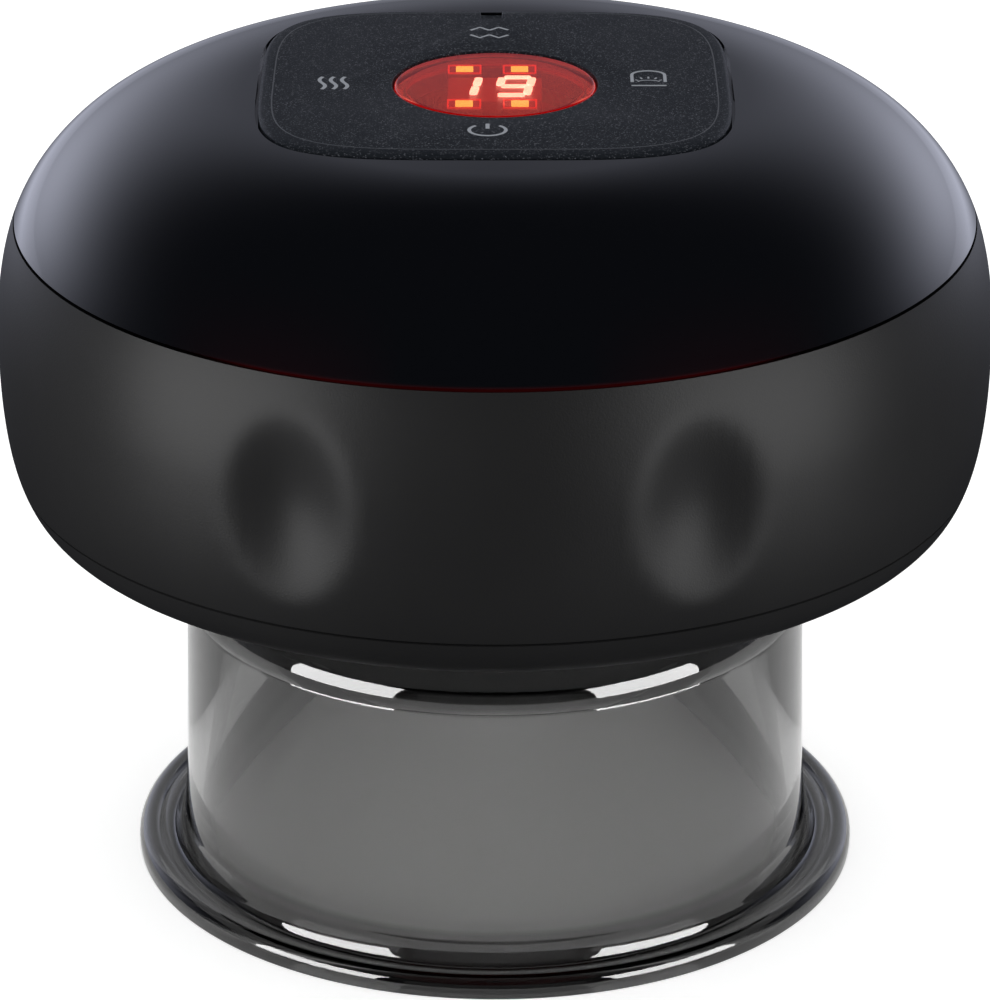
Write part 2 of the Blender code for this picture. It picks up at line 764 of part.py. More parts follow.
def make_panel():
    work = bmesh.new()
    outline = soft_square(PANEL_WIDTH, PANEL_DEPTH, PANEL_STEPS)
    face = work.faces.new([work.verts.new((x, y, 0)) for x, y in outline])
    bmesh.ops.remove_doubles(work, verts=work.verts, dist=WELD)
    bottom = work.faces[:][0]
    raised = bmesh.ops.extrude_face_region(work, geom=[bottom])["geom"]
    rise = Vector((0, 0, PANEL_THICKNESS - PANEL_CHAMFER))
    corners = [item for item in raised if isinstance(item, bmesh.types.BMVert)]
    bmesh.ops.translate(work, verts=corners, vec=rise)
    bmesh.ops.recalc_face_normals(work, faces=work.faces)
    top = [face for face in work.faces if face.normal.z > 0.9]
    bmesh.ops.inset_individual(work, faces=top, thickness=PANEL_CHAMFER, depth=PANEL_CHAMFER)
    mesh = bpy.data.meshes.new("touch_panel")
    work.to_mesh(mesh)
    work.free()
    panel = place("touch_panel", mesh, panel_grey(), (0, PANEL_Y, PANEL_Z))
    cutter(panel, rod_mesh(WINDOW_RADIUS, 2 * OVERRUN, CUP_STEPS), (0, WINDOW_Y - PANEL_Y, 0))
    outer = WINDOW_RADIUS - GAP
    ceiling = WINDOW_THICKNESS - WINDOW_PLATE
    profile = [
        (0, WINDOW_THICKNESS),
        (outer - WINDOW_CHAMFER, WINDOW_THICKNESS),
        (outer, WINDOW_THICKNESS - WINDOW_CHAMFER),
        (outer, 0),
        (outer - WINDOW_RIM, 0),
        (outer - WINDOW_RIM, ceiling),
        (0, ceiling),
    ]
    spot = (0, WINDOW_Y, POCKET_Z + GAP)
    turned("window_lens", profile, CUP_STEPS, red_lens(), at=spot)


def make_boards():
    plate("main_board", [circle(BOARD_RADIUS, CUP_STEPS)], BOARD_Z, BOARD_THICKNESS, board_green())
    base = BOARD_TOP_Z + GAP
    disc = disc_profile(WINDOW_RADIUS - WINDOW_LEDGE - GAP, 0, DISPLAY_BASE)
    module = turned("display_module", disc, PUMP_STEPS, matte_black(), at=(0, WINDOW_Y, base))
    height = DISPLAY_TOP_Z - base
    join(module, box_mesh((*DIGITS_SIZE, height - GAP)), (0, 0, (height + GAP) / 2))
    for side_x in (-1, 1):
        for side_y in (-1, 1):
            lamp = box_mesh((*LED_SIZE, height - GAP))
            spot = (side_x * LED_SPREAD[0], side_y * LED_SPREAD[1])
            join(module, lamp, (*spot, (height + GAP) / 2))
    rise = PANEL_Z - BOARD_TOP_Z - 2 * GAP - 2 * SPRING_WIRE_RADIUS
    for i, (x, y) in enumerate(key_places()):
        at = (x, y, BOARD_TOP_Z + GAP + SPRING_WIRE_RADIUS)
        coil_spring(f"touch_spring_{i + 1}", SPRING_COIL_RADIUS, rise, 3, at)


def coil_spring(name, radius, height, turns, at, parent=None):
    """A wound spring as one unbroken wire, with its axis along Z."""
    steps = 6
    count = turns * steps
    points = [
        (*polar(radius - SPRING_WIRE_RADIUS, TURN * i / steps), height * i / count)
        for i in range(count + 1)
    ]
    mesh = wire_mesh(points, SPRING_WIRE_RADIUS, 0)
    return place(name, mesh, steel(), at, parent=parent)


def wire_mesh(points, radius, resolution):
    curve = bpy.data.curves.new("wire", "CURVE")
    curve.dimensions = "3D"
    curve.bevel_depth = radius
    curve.bevel_resolution = resolution
    curve.use_fill_caps = True
    spline = curve.splines.new("POLY")
    spline.points.add(len(points) - 1)
    for point, spot in zip(spline.points, points):
        point.co = (*spot, 1)
    scratch = bpy.data.objects.new("wire", curve)
    MODEL.objects.link(scratch)
    mesh = realised(scratch)
    shade_smooth(mesh, 80 * DEG)
    return mesh


def make_bottom_cover():
    lower = lower_curve()
    begin = share_at(lower, COVER_SEAM_Z - GAP / 2)
    outer = bezier(*lower, 5, begin, 1)
    inner_wall = HOUSING_WALL + GAP + TONGUE_WALL
    floor = UNDERSIDE_Z + COVER_FLOOR_THICKNESS
    rim = (outer[0][0] - HOUSING_WALL - GAP, inset(outer, HOUSING_WALL)[0][1])
    inner = [p for p in inset(outer, inner_wall)[1:] if p[0] > UNDERSIDE_RADIUS]
    tip_in = rim[0] - TONGUE_WALL
    rim_top = rim[1] + TONGUE_LENGTH
    wall_out = SOCKET_RADIUS + SOCKET_WALL
    recess = LAMP_WINDOW_RADIUS + GAP
    profile = outer + [
        (SOCKET_RADIUS + SOCKET_CHAMFER, UNDERSIDE_Z),
        (SOCKET_RADIUS, UNDERSIDE_Z + SOCKET_CHAMFER),
        (SOCKET_RADIUS, SOCKET_CEILING_Z),
        (LAMP_OPENING_RADIUS, SOCKET_CEILING_Z),
        (LAMP_OPENING_RADIUS, SOCKET_CEILING_Z + LAMP_LEDGE),
        (recess, SOCKET_CEILING_Z + LAMP_LEDGE),
        (recess, CEILING_TOP_Z),
        (wall_out, CEILING_TOP_Z),
        (wall_out, floor),
        (inner[-1][0], floor),
    ]
    profile += inner[::-1] + [(tip_in, rim[1]), (tip_in, rim_top), (rim[0], rim_top), rim]
    cover = turned("bottom_cover", profile, HEAD_STEPS, matte_black(), closed=True)
    boss_top = floor + COVER_FLOOR_THICKNESS
    for angle in COLUMN_ANGLES:
        spot = polar(COVER_SCREW_PLACE, angle)
        boss = rod_mesh(SCREW_HEAD_RADIUS + 4 * GAP, boss_top - floor + GAP, ROUND_SIDES)
        join(cover, boss, (*spot, (boss_top + floor - GAP) / 2))
        cutter(cover, rod_mesh(SCREW_RADIUS + GAP, 4 * OVERRUN, HOLE_SIDES), (*spot, floor))
        head = rod_mesh(SCREW_HEAD_RADIUS + GAP, 2 * RECESS_DEPTH, ROUND_SIDES)
        cutter(cover, head, (*spot, UNDERSIDE_Z))
    for angle in POST_ANGLES:
        spot = polar(FRAME_POST_PLACE, angle)
        post_top = FRAME_Z - GAP
        post = rod_mesh(FRAME_POST_RADIUS, post_top - floor + GAP, PILLAR_SIDES)
        join(cover, post, (*spot, (post_top + floor - GAP) / 2))
        hole = rod_mesh(SCREW_RADIUS + FIT, 2 * (post_top - floor - GAP), HOLE_SIDES)
        cutter(cover, hole, (*spot, post_top))


def screw_profile(head_radius, head, radius, length):
    """A pan-head screw that points down, with its head above Z = 0."""
    return [
        (0, head),
        (head_radius * 0.7, head),
        (head_radius, head * 0.5),
        (head_radius, 0),
        (radius, 0),
        (radius, -length),
        (0, -length),
    ]


def make_head_screws():
    profile = screw_profile(SCREW_HEAD_RADIUS, SCREW_HEAD_HEIGHT, SCREW_RADIUS, COVER_SCREW_LENGTH)
    seat = UNDERSIDE_Z + RECESS_DEPTH - GAP
    for i, angle in enumerate(COLUMN_ANGLES):
        spot = (*polar(COVER_SCREW_PLACE, angle), seat)
        name = f"cover_screw_{i + 1}"
        turned(name, profile, PILLAR_SIDES, zinc_steel(), at=spot, turn=(TURN / 2, 0, 0))
    length = FRAME_Z - UNDERSIDE_Z - 2 * COVER_FLOOR_THICKNESS
    profile = screw_profile(SCREW_HEAD_RADIUS, SCREW_HEAD_HEIGHT, SCREW_RADIUS, length)
    for i, angle in enumerate(POST_ANGLES):
        spot = (*polar(FRAME_POST_PLACE, angle), FRAME_TOP_Z + GAP)
        turned(f"frame_screw_{i + 1}", profile, HOLE_SIDES, zinc_steel(), at=spot)


def make_lamp():
    inner = PORT_RADIUS + GAP
    low = LAMP_WINDOW_Z
    profile = ring_profile(LAMP_WINDOW_RADIUS, inner, low, low + LAMP_WINDOW_THICKNESS)
    turned("lamp_window", profile, LAMP_STEPS, red_lens(), closed=True)
    profile = ring_profile(LAMP_BOARD_RADIUS, inner, LAMP_BOARD_Z, LAMP_BOARD_TOP_Z)
    board = turned("lamp_board", profile, LAMP_STEPS, board_green(), closed=True)
    for i in range(LAMP_LED_COUNT):
        angle = TURN * (i + 0.5) / LAMP_LED_COUNT
        lamp = box_mesh((LAMP_LED_WIDTH, LAMP_LED_WIDTH, 2 * LAMP_LED_HEIGHT))
        join(board, lamp, (*polar(LAMP_LED_PLACE, angle), LAMP_BOARD_Z), (0, 0, angle))
    flange = LAMP_BOARD_TOP_Z + GAP
    bottom = SOCKET_CEILING_Z + GAP
    filter_top = bottom + FILTER_LENGTH + 2 * GAP
    profile = [
        (NOZZLE_RADIUS, PORT_NOZZLE_TOP_Z),
        (NOZZLE_RADIUS, flange + PORT_FLANGE_THICKNESS),
        (PORT_FLANGE_RADIUS, flange + PORT_FLANGE_THICKNESS),
        (PORT_FLANGE_RADIUS, flange),
        (PORT_RADIUS, flange),
        (PORT_RADIUS, bottom),
        (PORT_FILTER_BORE, bottom),
        (PORT_FILTER_BORE, filter_top),
        (NOZZLE_BORE, filter_top),
        (NOZZLE_BORE, PORT_NOZZLE_TOP_Z),
    ]
    turned("suction_port", profile, ROUND_SIDES, white_nylon(), closed=True)
    profile = disc_profile(PORT_FILTER_BORE - GAP, bottom + GAP, bottom + GAP + FILTER_LENGTH)
    turned("port_filter", profile, ROUND_SIDES, foam())


def make_frame():
    outer = []
    for i in range(HEAD_STEPS):
        angle = TURN * i / HEAD_STEPS
        outer.append(polar(FRAME_RADIUS + FRAME_LOBE * math.cos(4 * angle), angle))
    rings = [outer, circle(FRAME_INNER_RADIUS, CUP_STEPS)]
    frame = plate("inner_frame", rings, FRAME_Z, FRAME_THICKNESS, white_nylon())
    middle = FRAME_Z + FRAME_THICKNESS / 2
    reach = 2 * (FRAME_INNER_RADIUS + GAP)
    saddle_top = FRAME_TOP_Z + SADDLE_RISE
    for side in (-1, 1):
        bar = box_mesh((SADDLE_THICKNESS, reach, FRAME_THICKNESS))
        join(frame, bar, (side * SADDLE_X, 0, 0))
        for y, radius in ((PUMP_Y, PUMP_RADIUS), (BATTERY_Y, BATTERY_RADIUS)):
            saddle = box_mesh((SADDLE_THICKNESS, 2 * radius - 2 * GAP, saddle_top - FRAME_Z))
            join(frame, saddle, (side * SADDLE_X, y, (saddle_top + FRAME_Z) / 2 - middle))
    length = 2 * (SADDLE_X + SADDLE_THICKNESS)
    for y, z, radius in ((PUMP_Y, PUMP_Z, PUMP_RADIUS), (BATTERY_Y, BATTERY_Z, BATTERY_RADIUS)):
        hollow = rod_mesh(radius + GAP, 2 * length, PUMP_STEPS)
        cutter(frame, hollow, (0, y, z - middle), (0, TURN / 4, 0))
    for angle in POST_ANGLES:
        hole = rod_mesh(SCREW_RADIUS + GAP, 4 * FRAME_THICKNESS, PILLAR_SIDES)
        cutter(frame, hole, (*polar(FRAME_POST_PLACE, angle), 0))


def make_battery():
    half = BATTERY_LENGTH / 2
    neck = BATTERY_RADIUS - BATTERY_CAP_HEIGHT
    profile = [
        (0, half),
        (BATTERY_CAP_RADIUS, half),
        (BATTERY_CAP_RADIUS, half - BATTERY_CAP_HEIGHT),
        (neck, half - BATTERY_CAP_HEIGHT),
        (BATTERY_RADIUS, half - 2 * BATTERY_CAP_HEIGHT),
        (BATTERY_RADIUS, -half),
        (0, -half),
    ]
    spot = (0, BATTERY_Y, BATTERY_Z)
    turned("battery_cell", profile, PUMP_STEPS, battery_wrap(), at=spot, turn=(0, TURN / 4, 0))
    size = CHARGE_BOARD_SIZE
    y = USB_FACE_Y - USB_SIZE[1] - GAP - size[1] / 2 + USB_SIZE[1] / 2
    board = box_mesh(size)
    place("charge_board", board, board_green(), (0, y, CHARGE_BOARD_Z + size[2] / 2))
    shell = rounded_box(USB_SIZE[0], USB_SIZE[2], USB_SIZE[2] / 2 - GAP, 4)
    at = (0, USB_FACE_Y - USB_SIZE[1] / 2, USB_Z)
    usb = place("usb_socket", plate_mesh([shell], USB_SIZE[1]), steel(), at, (TURN / 4, 0, 0))
    wall = 2 * USB_WALL
    bore = rounded_box(USB_SIZE[0] - wall, USB_SIZE[2] - wall, USB_SIZE[2] / 2 - GAP - USB_WALL, 4)
    cutter(usb, plate_mesh([bore], USB_SIZE[1]), (0, 0, -USB_WALL * 3))
    tongue = box_mesh((USB_TONGUE[0], USB_TONGUE[2], USB_TONGUE[1]))
    join(usb, tongue, (0, 0, (USB_SIZE[1] - USB_TONGUE[1]) / 2 - USB_WALL))


def make_motor(axis):
    bush_bore = SHAFT_RADIUS + FIT
    rim = MOTOR_END - MOTOR_WALL
    profile = [
        (BUSH_RADIUS + 2 * GAP, MOTOR_END),
        (MOTOR_RADIUS, MOTOR_END),
        (MOTOR_RADIUS, MOTOR_START),
        (MOTOR_RADIUS - MOTOR_WALL, MOTOR_START),
        (MOTOR_RADIUS - MOTOR_WALL, rim),
        (BUSH_RADIUS + 2 * GAP, rim),
    ]
    turned("motor_can", profile, PUMP_STEPS, zinc_steel(), closed=True, parent=axis)
    inner = MOTOR_RADIUS - MOTOR_WALL - GAP
    cap_low = MOTOR_START - GAP - END_CAP_THICKNESS / 2
    profile = [
        (inner, MOTOR_START + END_CAP_THICKNESS),
        (inner, MOTOR_START - GAP),
        (MOTOR_RADIUS, MOTOR_START - GAP),
        (MOTOR_RADIUS, cap_low),
        (BUSH_RADIUS + GAP, cap_low),
        (BUSH_RADIUS + GAP, MOTOR_START + END_CAP_THICKNESS),
    ]
    turned("motor_end_cap", profile, PUMP_STEPS, white_nylon(), closed=True, parent=axis)
    half = BUSH_LENGTH / 2
    middles = (rim, MOTOR_START + END_CAP_THICKNESS / 2)
    for name, z in zip(("front_bush", "rear_bush"), middles):
        profile = ring_profile(BUSH_RADIUS, bush_bore, z - half, z + half)
        turned(name, profile, ROUND_SIDES, bronze(), closed=True, parent=axis)
    outer = inner
    low = rim - GAP - MAGNET_LENGTH - COMMUTATOR_LENGTH / 2
    for side, name in ((0, "motor_magnet_1"), (TURN / 2, "motor_magnet_2")):
        arc = [polar(outer, side + MAGNET_SPAN * (i / 8 - 0.5)) for i in range(9)]
        back = [polar(outer - MAGNET_WALL, side + MAGNET_SPAN * (0.5 - i / 8)) for i in range(9)]
        plate(name, [arc + back], low, MAGNET_LENGTH, ferrite(), parent=axis)


def armature_outline():
    """Three pole shoes on three necks round the shaft."""
    points = []
    shoe = TURN / 3 - ARMATURE_SLOT / ARMATURE_RADIUS
    neck = ARMATURE_SLOT / 2
    inner = ARMATURE_RADIUS - ARMATURE_SLOT / 2
    hub = SHAFT_RADIUS + ARMATURE_SLOT / 2
    for pole in range(3):
        middle = TURN * pole / 3
        turn = Matrix.Rotation(middle, 2)
        lean = math.asin(neck / hub)
        edge = math.asin(neck / inner)
        shape = [polar(hub, -lean), polar(inner, -edge), polar(inner, -shoe / 2)]
        shape += [polar(ARMATURE_RADIUS, shoe * (i / 6 - 0.5)) for i in range(7)]
        shape += [polar(inner, shoe / 2), polar(inner, edge), polar(hub, lean)]
        points += [tuple(turn @ Vector(point)) for point in shape]
    return points


def make_rotor(axis):
    spin = empty("pump_spin_axis", parent=axis)
    shaft_low = MOTOR_START - END_CAP_THICKNESS
    shaft_high = CRANK_START + SHAFT_BITE
    shaft = disc_profile(SHAFT_RADIUS, shaft_low, shaft_high - GAP)
    turned("motor_shaft", shaft, ROUND_SIDES, steel(), parent=spin)
    core_high = MOTOR_END - MOTOR_WALL - BUSH_LENGTH - GAP
    core_low = core_high - ARMATURE_LENGTH
    bore = circle(SHAFT_RADIUS + FIT, ROUND_SIDES)
    plate("armature", [armature_outline(), bore], core_low, ARMATURE_LENGTH, steel(), parent=spin)
    low = core_low - GAP - COMMUTATOR_LENGTH
    profile = ring_profile(COMMUTATOR_RADIUS, SHAFT_RADIUS + FIT, low, core_low - GAP)
    turned("commutator", profile, ROUND_SIDES, copper(), closed=True, parent=spin)
    profile = disc_profile(CRANK_RADIUS, CRANK_START, CRANK_END, GAP)
    crank = turned("crank", profile, HUB_SIDES, white_nylon(), parent=spin)
    shaft_hole = rod_mesh(SHAFT_RADIUS + FIT, 2 * SHAFT_BITE, ROUND_SIDES)
    cutter(crank, shaft_hole, (0, 0, CRANK_START))
    tilt = empty("wobble_axis", (0, 0, WOBBLE_CENTRE), (0, CRANK_TILT, 0), spin)
    pin_low = CRANK_END - PIN_BITE - WOBBLE_CENTRE
    pin_high = -WOBBLE_THICKNESS / 2
    middle = (pin_low + pin_high) / 2
    pin = rod_mesh(PIN_RADIUS, pin_high - pin_low, ROUND_SIDES)
    place("crank_pin", pin, steel(), (0, 0, middle), parent=tilt)
    sine, cosine = math.sin(CRANK_TILT), math.cos(CRANK_TILT)
    hole_middle = pin_low - GAP + OVERRUN
    hole = rod_mesh(PIN_RADIUS + FIT, 2 * OVERRUN, ROUND_SIDES)
    spot = (hole_middle * sine, 0, WOBBLE_CENTRE + hole_middle * cosine)
    cutter(crank, hole, spot, (0, CRANK_TILT, 0))
    return tilt


def wobble_outline():
    """Three round-ended arms, each reaching over the stem of one chamber."""
    points = []
    waist = WOBBLE_HUB_RADIUS + 2 * GAP
    for arm in CHAMBER_ANGLES:
        points.append(polar(waist, arm - TURN / 6))
        centre = polar(CHAMBER_PLACE, arm)
        for i in range(9):
            across = polar(WOBBLE_ARM_RADIUS, arm + TURN / 2 * (i / 8 - 0.5))
            points.append((centre[0] + across[0], centre[1] + across[1]))
    return points


def make_wobble(tilt):
    shape = wobble_outline()
    half = WOBBLE_THICKNESS / 2
    wobble = plate("wobble_plate", [shape], -half, WOBBLE_THICKNESS, white_nylon(), parent=tilt)
    length = WOBBLE_HUB_LENGTH
    hub = rod_mesh(WOBBLE_HUB_RADIUS, length, HUB_SIDES)
    join(wobble, hub, (0, 0, -length / 2))
    bore = rod_mesh(PIN_RADIUS + FIT, 2 * length, ROUND_SIDES)
    cutter(wobble, bore, (0, 0, -length - half + FIT))


def wobble_lift(angle):
    """How far the tilted plate stands towards the chambers over a stem at this angle."""
    return -CHAMBER_PLACE * math.cos(angle) * math.sin(CRANK_TILT)


def make_pump_body(axis):
    bore = PUMP_RADIUS - CASE_WALL
    wall_end = CASE_START + CASE_WALL
    profile = [
        (PUMP_RADIUS, CASE_END),
        (PUMP_RADIUS, CASE_START),
        (BUSH_RADIUS + 2 * GAP, CASE_START),
        (BUSH_RADIUS + 2 * GAP, wall_end),
        (bore, wall_end),
        (bore, CASE_END),
    ]
    case = turned("pump_case", profile, PUMP_STEPS, matte_black(), closed=True, parent=axis)
    for angle in SCREW_ANGLES:
        pillar = rod_mesh(PUMP_PILLAR_RADIUS, PUMP_PILLAR_LENGTH, PILLAR_SIDES)
        spot = (*polar(PUMP_SCREW_PLACE, angle), CASE_END - PUMP_PILLAR_LENGTH / 2)
        join(case, pillar, spot)
        hole = rod_mesh(PUMP_SCREW_RADIUS + FIT, 2 * PUMP_PILLAR_LENGTH - 4 * GAP, HOLE_SIDES)
        cutter(case, hole, (*polar(PUMP_SCREW_PLACE, angle), CASE_END))
    hole_radius = PUMP_SCREW_RADIUS + GAP
    screw_holes = [
        circle(hole_radius, SCREW_HOLE_SIDES, polar(PUMP_SCREW_PLACE, angle))
        for angle in SCREW_ANGLES
    ]
    rings = [circle(PUMP_RADIUS, PUMP_STEPS)] + screw_holes
    chambers = [
        circle(CHAMBER_RADIUS + GAP, ROUND_SIDES, polar(CHAMBER_PLACE, angle))
        for angle in CHAMBER_ANGLES
    ]
    thickness = CHAMBER_BLOCK_THICKNESS
    plate("chamber_block", rings + chambers, CHAMBER_BLOCK_X, thickness, matte_black(), parent=axis)
    membrane = plate(
        "diaphragm", rings, DIAPHRAGM_X, DIAPHRAGM_THICKNESS, black_rubber(), parent=axis
    )
    middle = DIAPHRAGM_X + DIAPHRAGM_THICKNESS / 2
    for angle in CHAMBER_ANGLES:
        x, y = polar(CHAMBER_PLACE, angle)
        depth = middle - CUP_FLOOR_X
        join(membrane, rod_mesh(CHAMBER_RADIUS, depth, ROUND_SIDES), (x, y, -depth / 2))
        stem_end = WOBBLE_CENTRE + WOBBLE_THICKNESS + GAP + wobble_lift(angle)
        length = CUP_FLOOR_X + GAP - stem_end
        stem = rod_mesh(STEM_RADIUS, length, HOLE_SIDES)
        join(membrane, stem, (x, y, stem_end + length / 2 - middle))
        clear = 2 * (depth - DIAPHRAGM_WALL)
        hollow = rod_mesh(CHAMBER_RADIUS - DIAPHRAGM_WALL, clear, ROUND_SIDES)
        cutter(membrane, hollow, (x, y, 0))
    ports = [circle(VALVE_PORT_RADIUS, HOLE_SIDES, polar(CHAMBER_PLACE, a)) for a in CHAMBER_ANGLES]
    thickness = VALVE_PLATE_THICKNESS
    flap_hole = circle(VALVE_PORT_RADIUS, HOLE_SIDES)
    rings = rings + ports + [flap_hole]
    plate("valve_plate", rings, VALVE_PLATE_X, thickness, white_nylon(), parent=axis)
    face = VALVE_PLATE_X + thickness
    stem_radius = VALVE_PORT_RADIUS - FIT
    profile = [
        (0, face + FIT + VALVE_FLAP_THICKNESS),
        (VALVE_FLAP_RADIUS, face + FIT + VALVE_FLAP_THICKNESS / 2),
        (VALVE_FLAP_RADIUS, face + FIT),
        (stem_radius, face + FIT),
        (stem_radius, VALVE_PLATE_X),
        (0, VALVE_PLATE_X),
    ]
    turned("valve_flap", profile, ROUND_SIDES, black_rubber(), parent=axis)
    make_pump_head(axis, screw_holes)


def make_pump_head(axis, screw_holes):
    rings = [circle(PUMP_RADIUS, PUMP_STEPS)] + screw_holes
    thickness = PUMP_HEAD_THICKNESS
    head = plate("pump_head", rings, PUMP_HEAD_X, thickness, matte_black(), parent=axis)
    clear = 2 * (thickness - PUMP_HEAD_WALL)
    hollow = rod_mesh(CHAMBER_PLACE + VALVE_PORT_RADIUS, clear, HUB_SIDES)
    cutter(head, hollow, (0, 0, -thickness / 2))
    low = thickness / 2 - PUMP_HEAD_WALL / 2
    length = PUMP_NOZZLE_LENGTH + thickness / 2 - low
    for side in (-1, 1):
        spot = (0, side * PUMP_NOZZLE_PLACE, low + length / 2)
        join(head, rod_mesh(NOZZLE_RADIUS, length, ROUND_SIDES), spot)
        cutter(head, rod_mesh(NOZZLE_BORE, 3 * length, HOLE_SIDES), spot)
    length = PUMP_FACE_X - CASE_END + PUMP_PILLAR_LENGTH - 4 * GAP
    radii = (PUMP_SCREW_HEAD_RADIUS, PUMP_SCREW_HEAD_HEIGHT, PUMP_SCREW_RADIUS)
    profile = screw_profile(*radii, length)
    for i, angle in enumerate(SCREW_ANGLES):
        spot = (*polar(PUMP_SCREW_PLACE, angle), PUMP_FACE_X + GAP)
        turned(f"pump_screw_{i + 1}", profile, HOLE_SIDES, steel(), at=spot, parent=axis)


def make_valve():
    turn = (0, -TURN / 4, 0)
    axis = empty("valve_axis", (VALVE_FRONT_X, 0, VALVE_Z), turn)
    front = VALVE_FRONT_THICKNESS
    outline = rounded_box(YOKE_WIDTH, YOKE_WIDTH, 2 * GAP, 2)
    face = plate("valve_front", [outline], 0, front, matte_black(), parent=axis)
    length = -VALVE_FRONT_X - TEE_ARM - 2 * GAP
    join(face, rod_mesh(NOZZLE_RADIUS, length, ROUND_SIDES), (0, 0, -length / 2))
    cutter(face, rod_mesh(NOZZLE_BORE, 4 * length, HOLE_SIDES), (0, 0, 0))
    low = front + GAP
    half = YOKE_WIDTH / 2
    inside = half - YOKE_WALL
    high = low + YOKE_LENGTH
    back = high - YOKE_WALL
    shape = [(half, low), (half, high), (-half, high), (-half, low)]
    shape += [(-inside, low), (-inside, back), (inside, back), (inside, low)]
    yoke = plate_mesh([shape], YOKE_WIDTH)
    place("valve_yoke", yoke, zinc_steel(), turn=(TURN / 4, 0, 0), parent=axis)
    spool_low = low + GAP
    spool_high = back - GAP
    bore = PLUNGER_RADIUS + FIT
    flange = COIL_RADIUS + GAP / 2
    profile = [
        (flange, spool_high),
        (flange, spool_high - BOBBIN_FLANGE),
        (BOBBIN_RADIUS, spool_high - BOBBIN_FLANGE),
        (BOBBIN_RADIUS, spool_low + BOBBIN_FLANGE),
        (flange, spool_low + BOBBIN_FLANGE),
        (flange, spool_low),
        (bore, spool_low),
        (bore, spool_high),
    ]
    turned("valve_bobbin", profile, HUB_SIDES, white_nylon(), closed=True, parent=axis)
    ends = (spool_low + BOBBIN_FLANGE + GAP, spool_high - BOBBIN_FLANGE - GAP)
    profile = ring_profile(COIL_RADIUS, BOBBIN_RADIUS + GAP, *ends)
    turned("valve_coil", profile, HUB_SIDES, copper(), closed=True, parent=axis)
    core_low = spool_high - CORE_LENGTH
    profile = disc_profile(PLUNGER_RADIUS, core_low, spool_high)
    turned("valve_core", profile, HUB_SIDES, steel(), parent=axis)
    tip = front + GAP
    profile = disc_profile(PLUNGER_RADIUS, tip, tip + PLUNGER_LENGTH, GAP)
    turned("valve_plunger", profile, HUB_SIDES, steel(), parent=axis)
    begin = tip + PLUNGER_LENGTH + GAP + SPRING_WIRE_RADIUS
    rise = core_low - GAP - SPRING_WIRE_RADIUS - begin
    coil_spring("return_spring", RETURN_SPRING_RADIUS, rise, 4, (0, 0, begin), axis)


def tube(name, route):
    """A soft tube along its route, with its bore cut through."""
    outer = wire_mesh(route, TUBE_RADIUS, 2)
    made = place(name, outer, clear_silicone())
    first = Vector(route[0]) - Vector(route[1])
    last = Vector(route[-1]) - Vector(route[-2])
    ends = [
        tuple(Vector(route[0]) + first.normalized() * GAP),
        tuple(Vector(route[-1]) + last.normalized() * GAP),
    ]
    cutter(made, wire_mesh([ends[0]] + route[1:-1] + [ends[1]], TUBE_BORE, 2))
    return made


def make_air_lines():
    tee = place("tee", rod_mesh(TEE_BODY_RADIUS, 2 * TEE_BODY_RADIUS, ROUND_SIDES), white_nylon())
    tee.location = (0, 0, VALVE_Z)
    arm = rod_mesh(NOZZLE_RADIUS, 2 * TEE_ARM, ROUND_SIDES)
    join(tee, arm, (0, 0, 0), (0, TURN / 4, 0))
    join(tee, rod_mesh(NOZZLE_RADIUS, TEE_ARM, ROUND_SIDES), (0, 0, -TEE_ARM / 2))
    cutter(tee, rod_mesh(NOZZLE_BORE, 4 * TEE_ARM, HOLE_SIDES), (0, 0, 0), (0, TURN / 4, 0))
    cutter(tee, rod_mesh(NOZZLE_BORE, 2 * TEE_ARM, HOLE_SIDES), (0, 0, -TEE_ARM))
    start = TEE_ARM - TUBE_OVER
    straight = TUBE_OVER + 2 * GAP
    port_low = LAMP_BOARD_TOP_Z + GAP + PORT_FLANGE_THICKNESS + GAP
    tube("port_tube", [(0, 0, port_low), (0, 0, VALVE_Z - TEE_ARM), (0, 0, VALVE_Z - start)])
    end = VALVE_FRONT_X + GAP
    tube("valve_tube", [(-start, 0, VALVE_Z), (-TEE_ARM, 0, VALVE_Z), (end, 0, VALVE_Z)])
    mouth_y = PUMP_Y + PUMP_NOZZLE_PLACE
    seat = PUMP_NOZZLE_X - TUBE_OVER
    begin = (seat + straight, mouth_y, PUMP_Z)
    finish = (start + straight, 0, VALVE_Z)
    pull = 2 * PUMP_NOZZLE_PLACE * 2
    bend = bezier(
        begin,
        (begin[0] + pull, mouth_y, PUMP_Z),
        (begin[0] + pull, 0, VALVE_Z),
        finish,
        9,
    )
    route = [(seat, mouth_y, PUMP_Z)] + bend + [(start, 0, VALVE_Z)]
    tube("pump_tube", route)


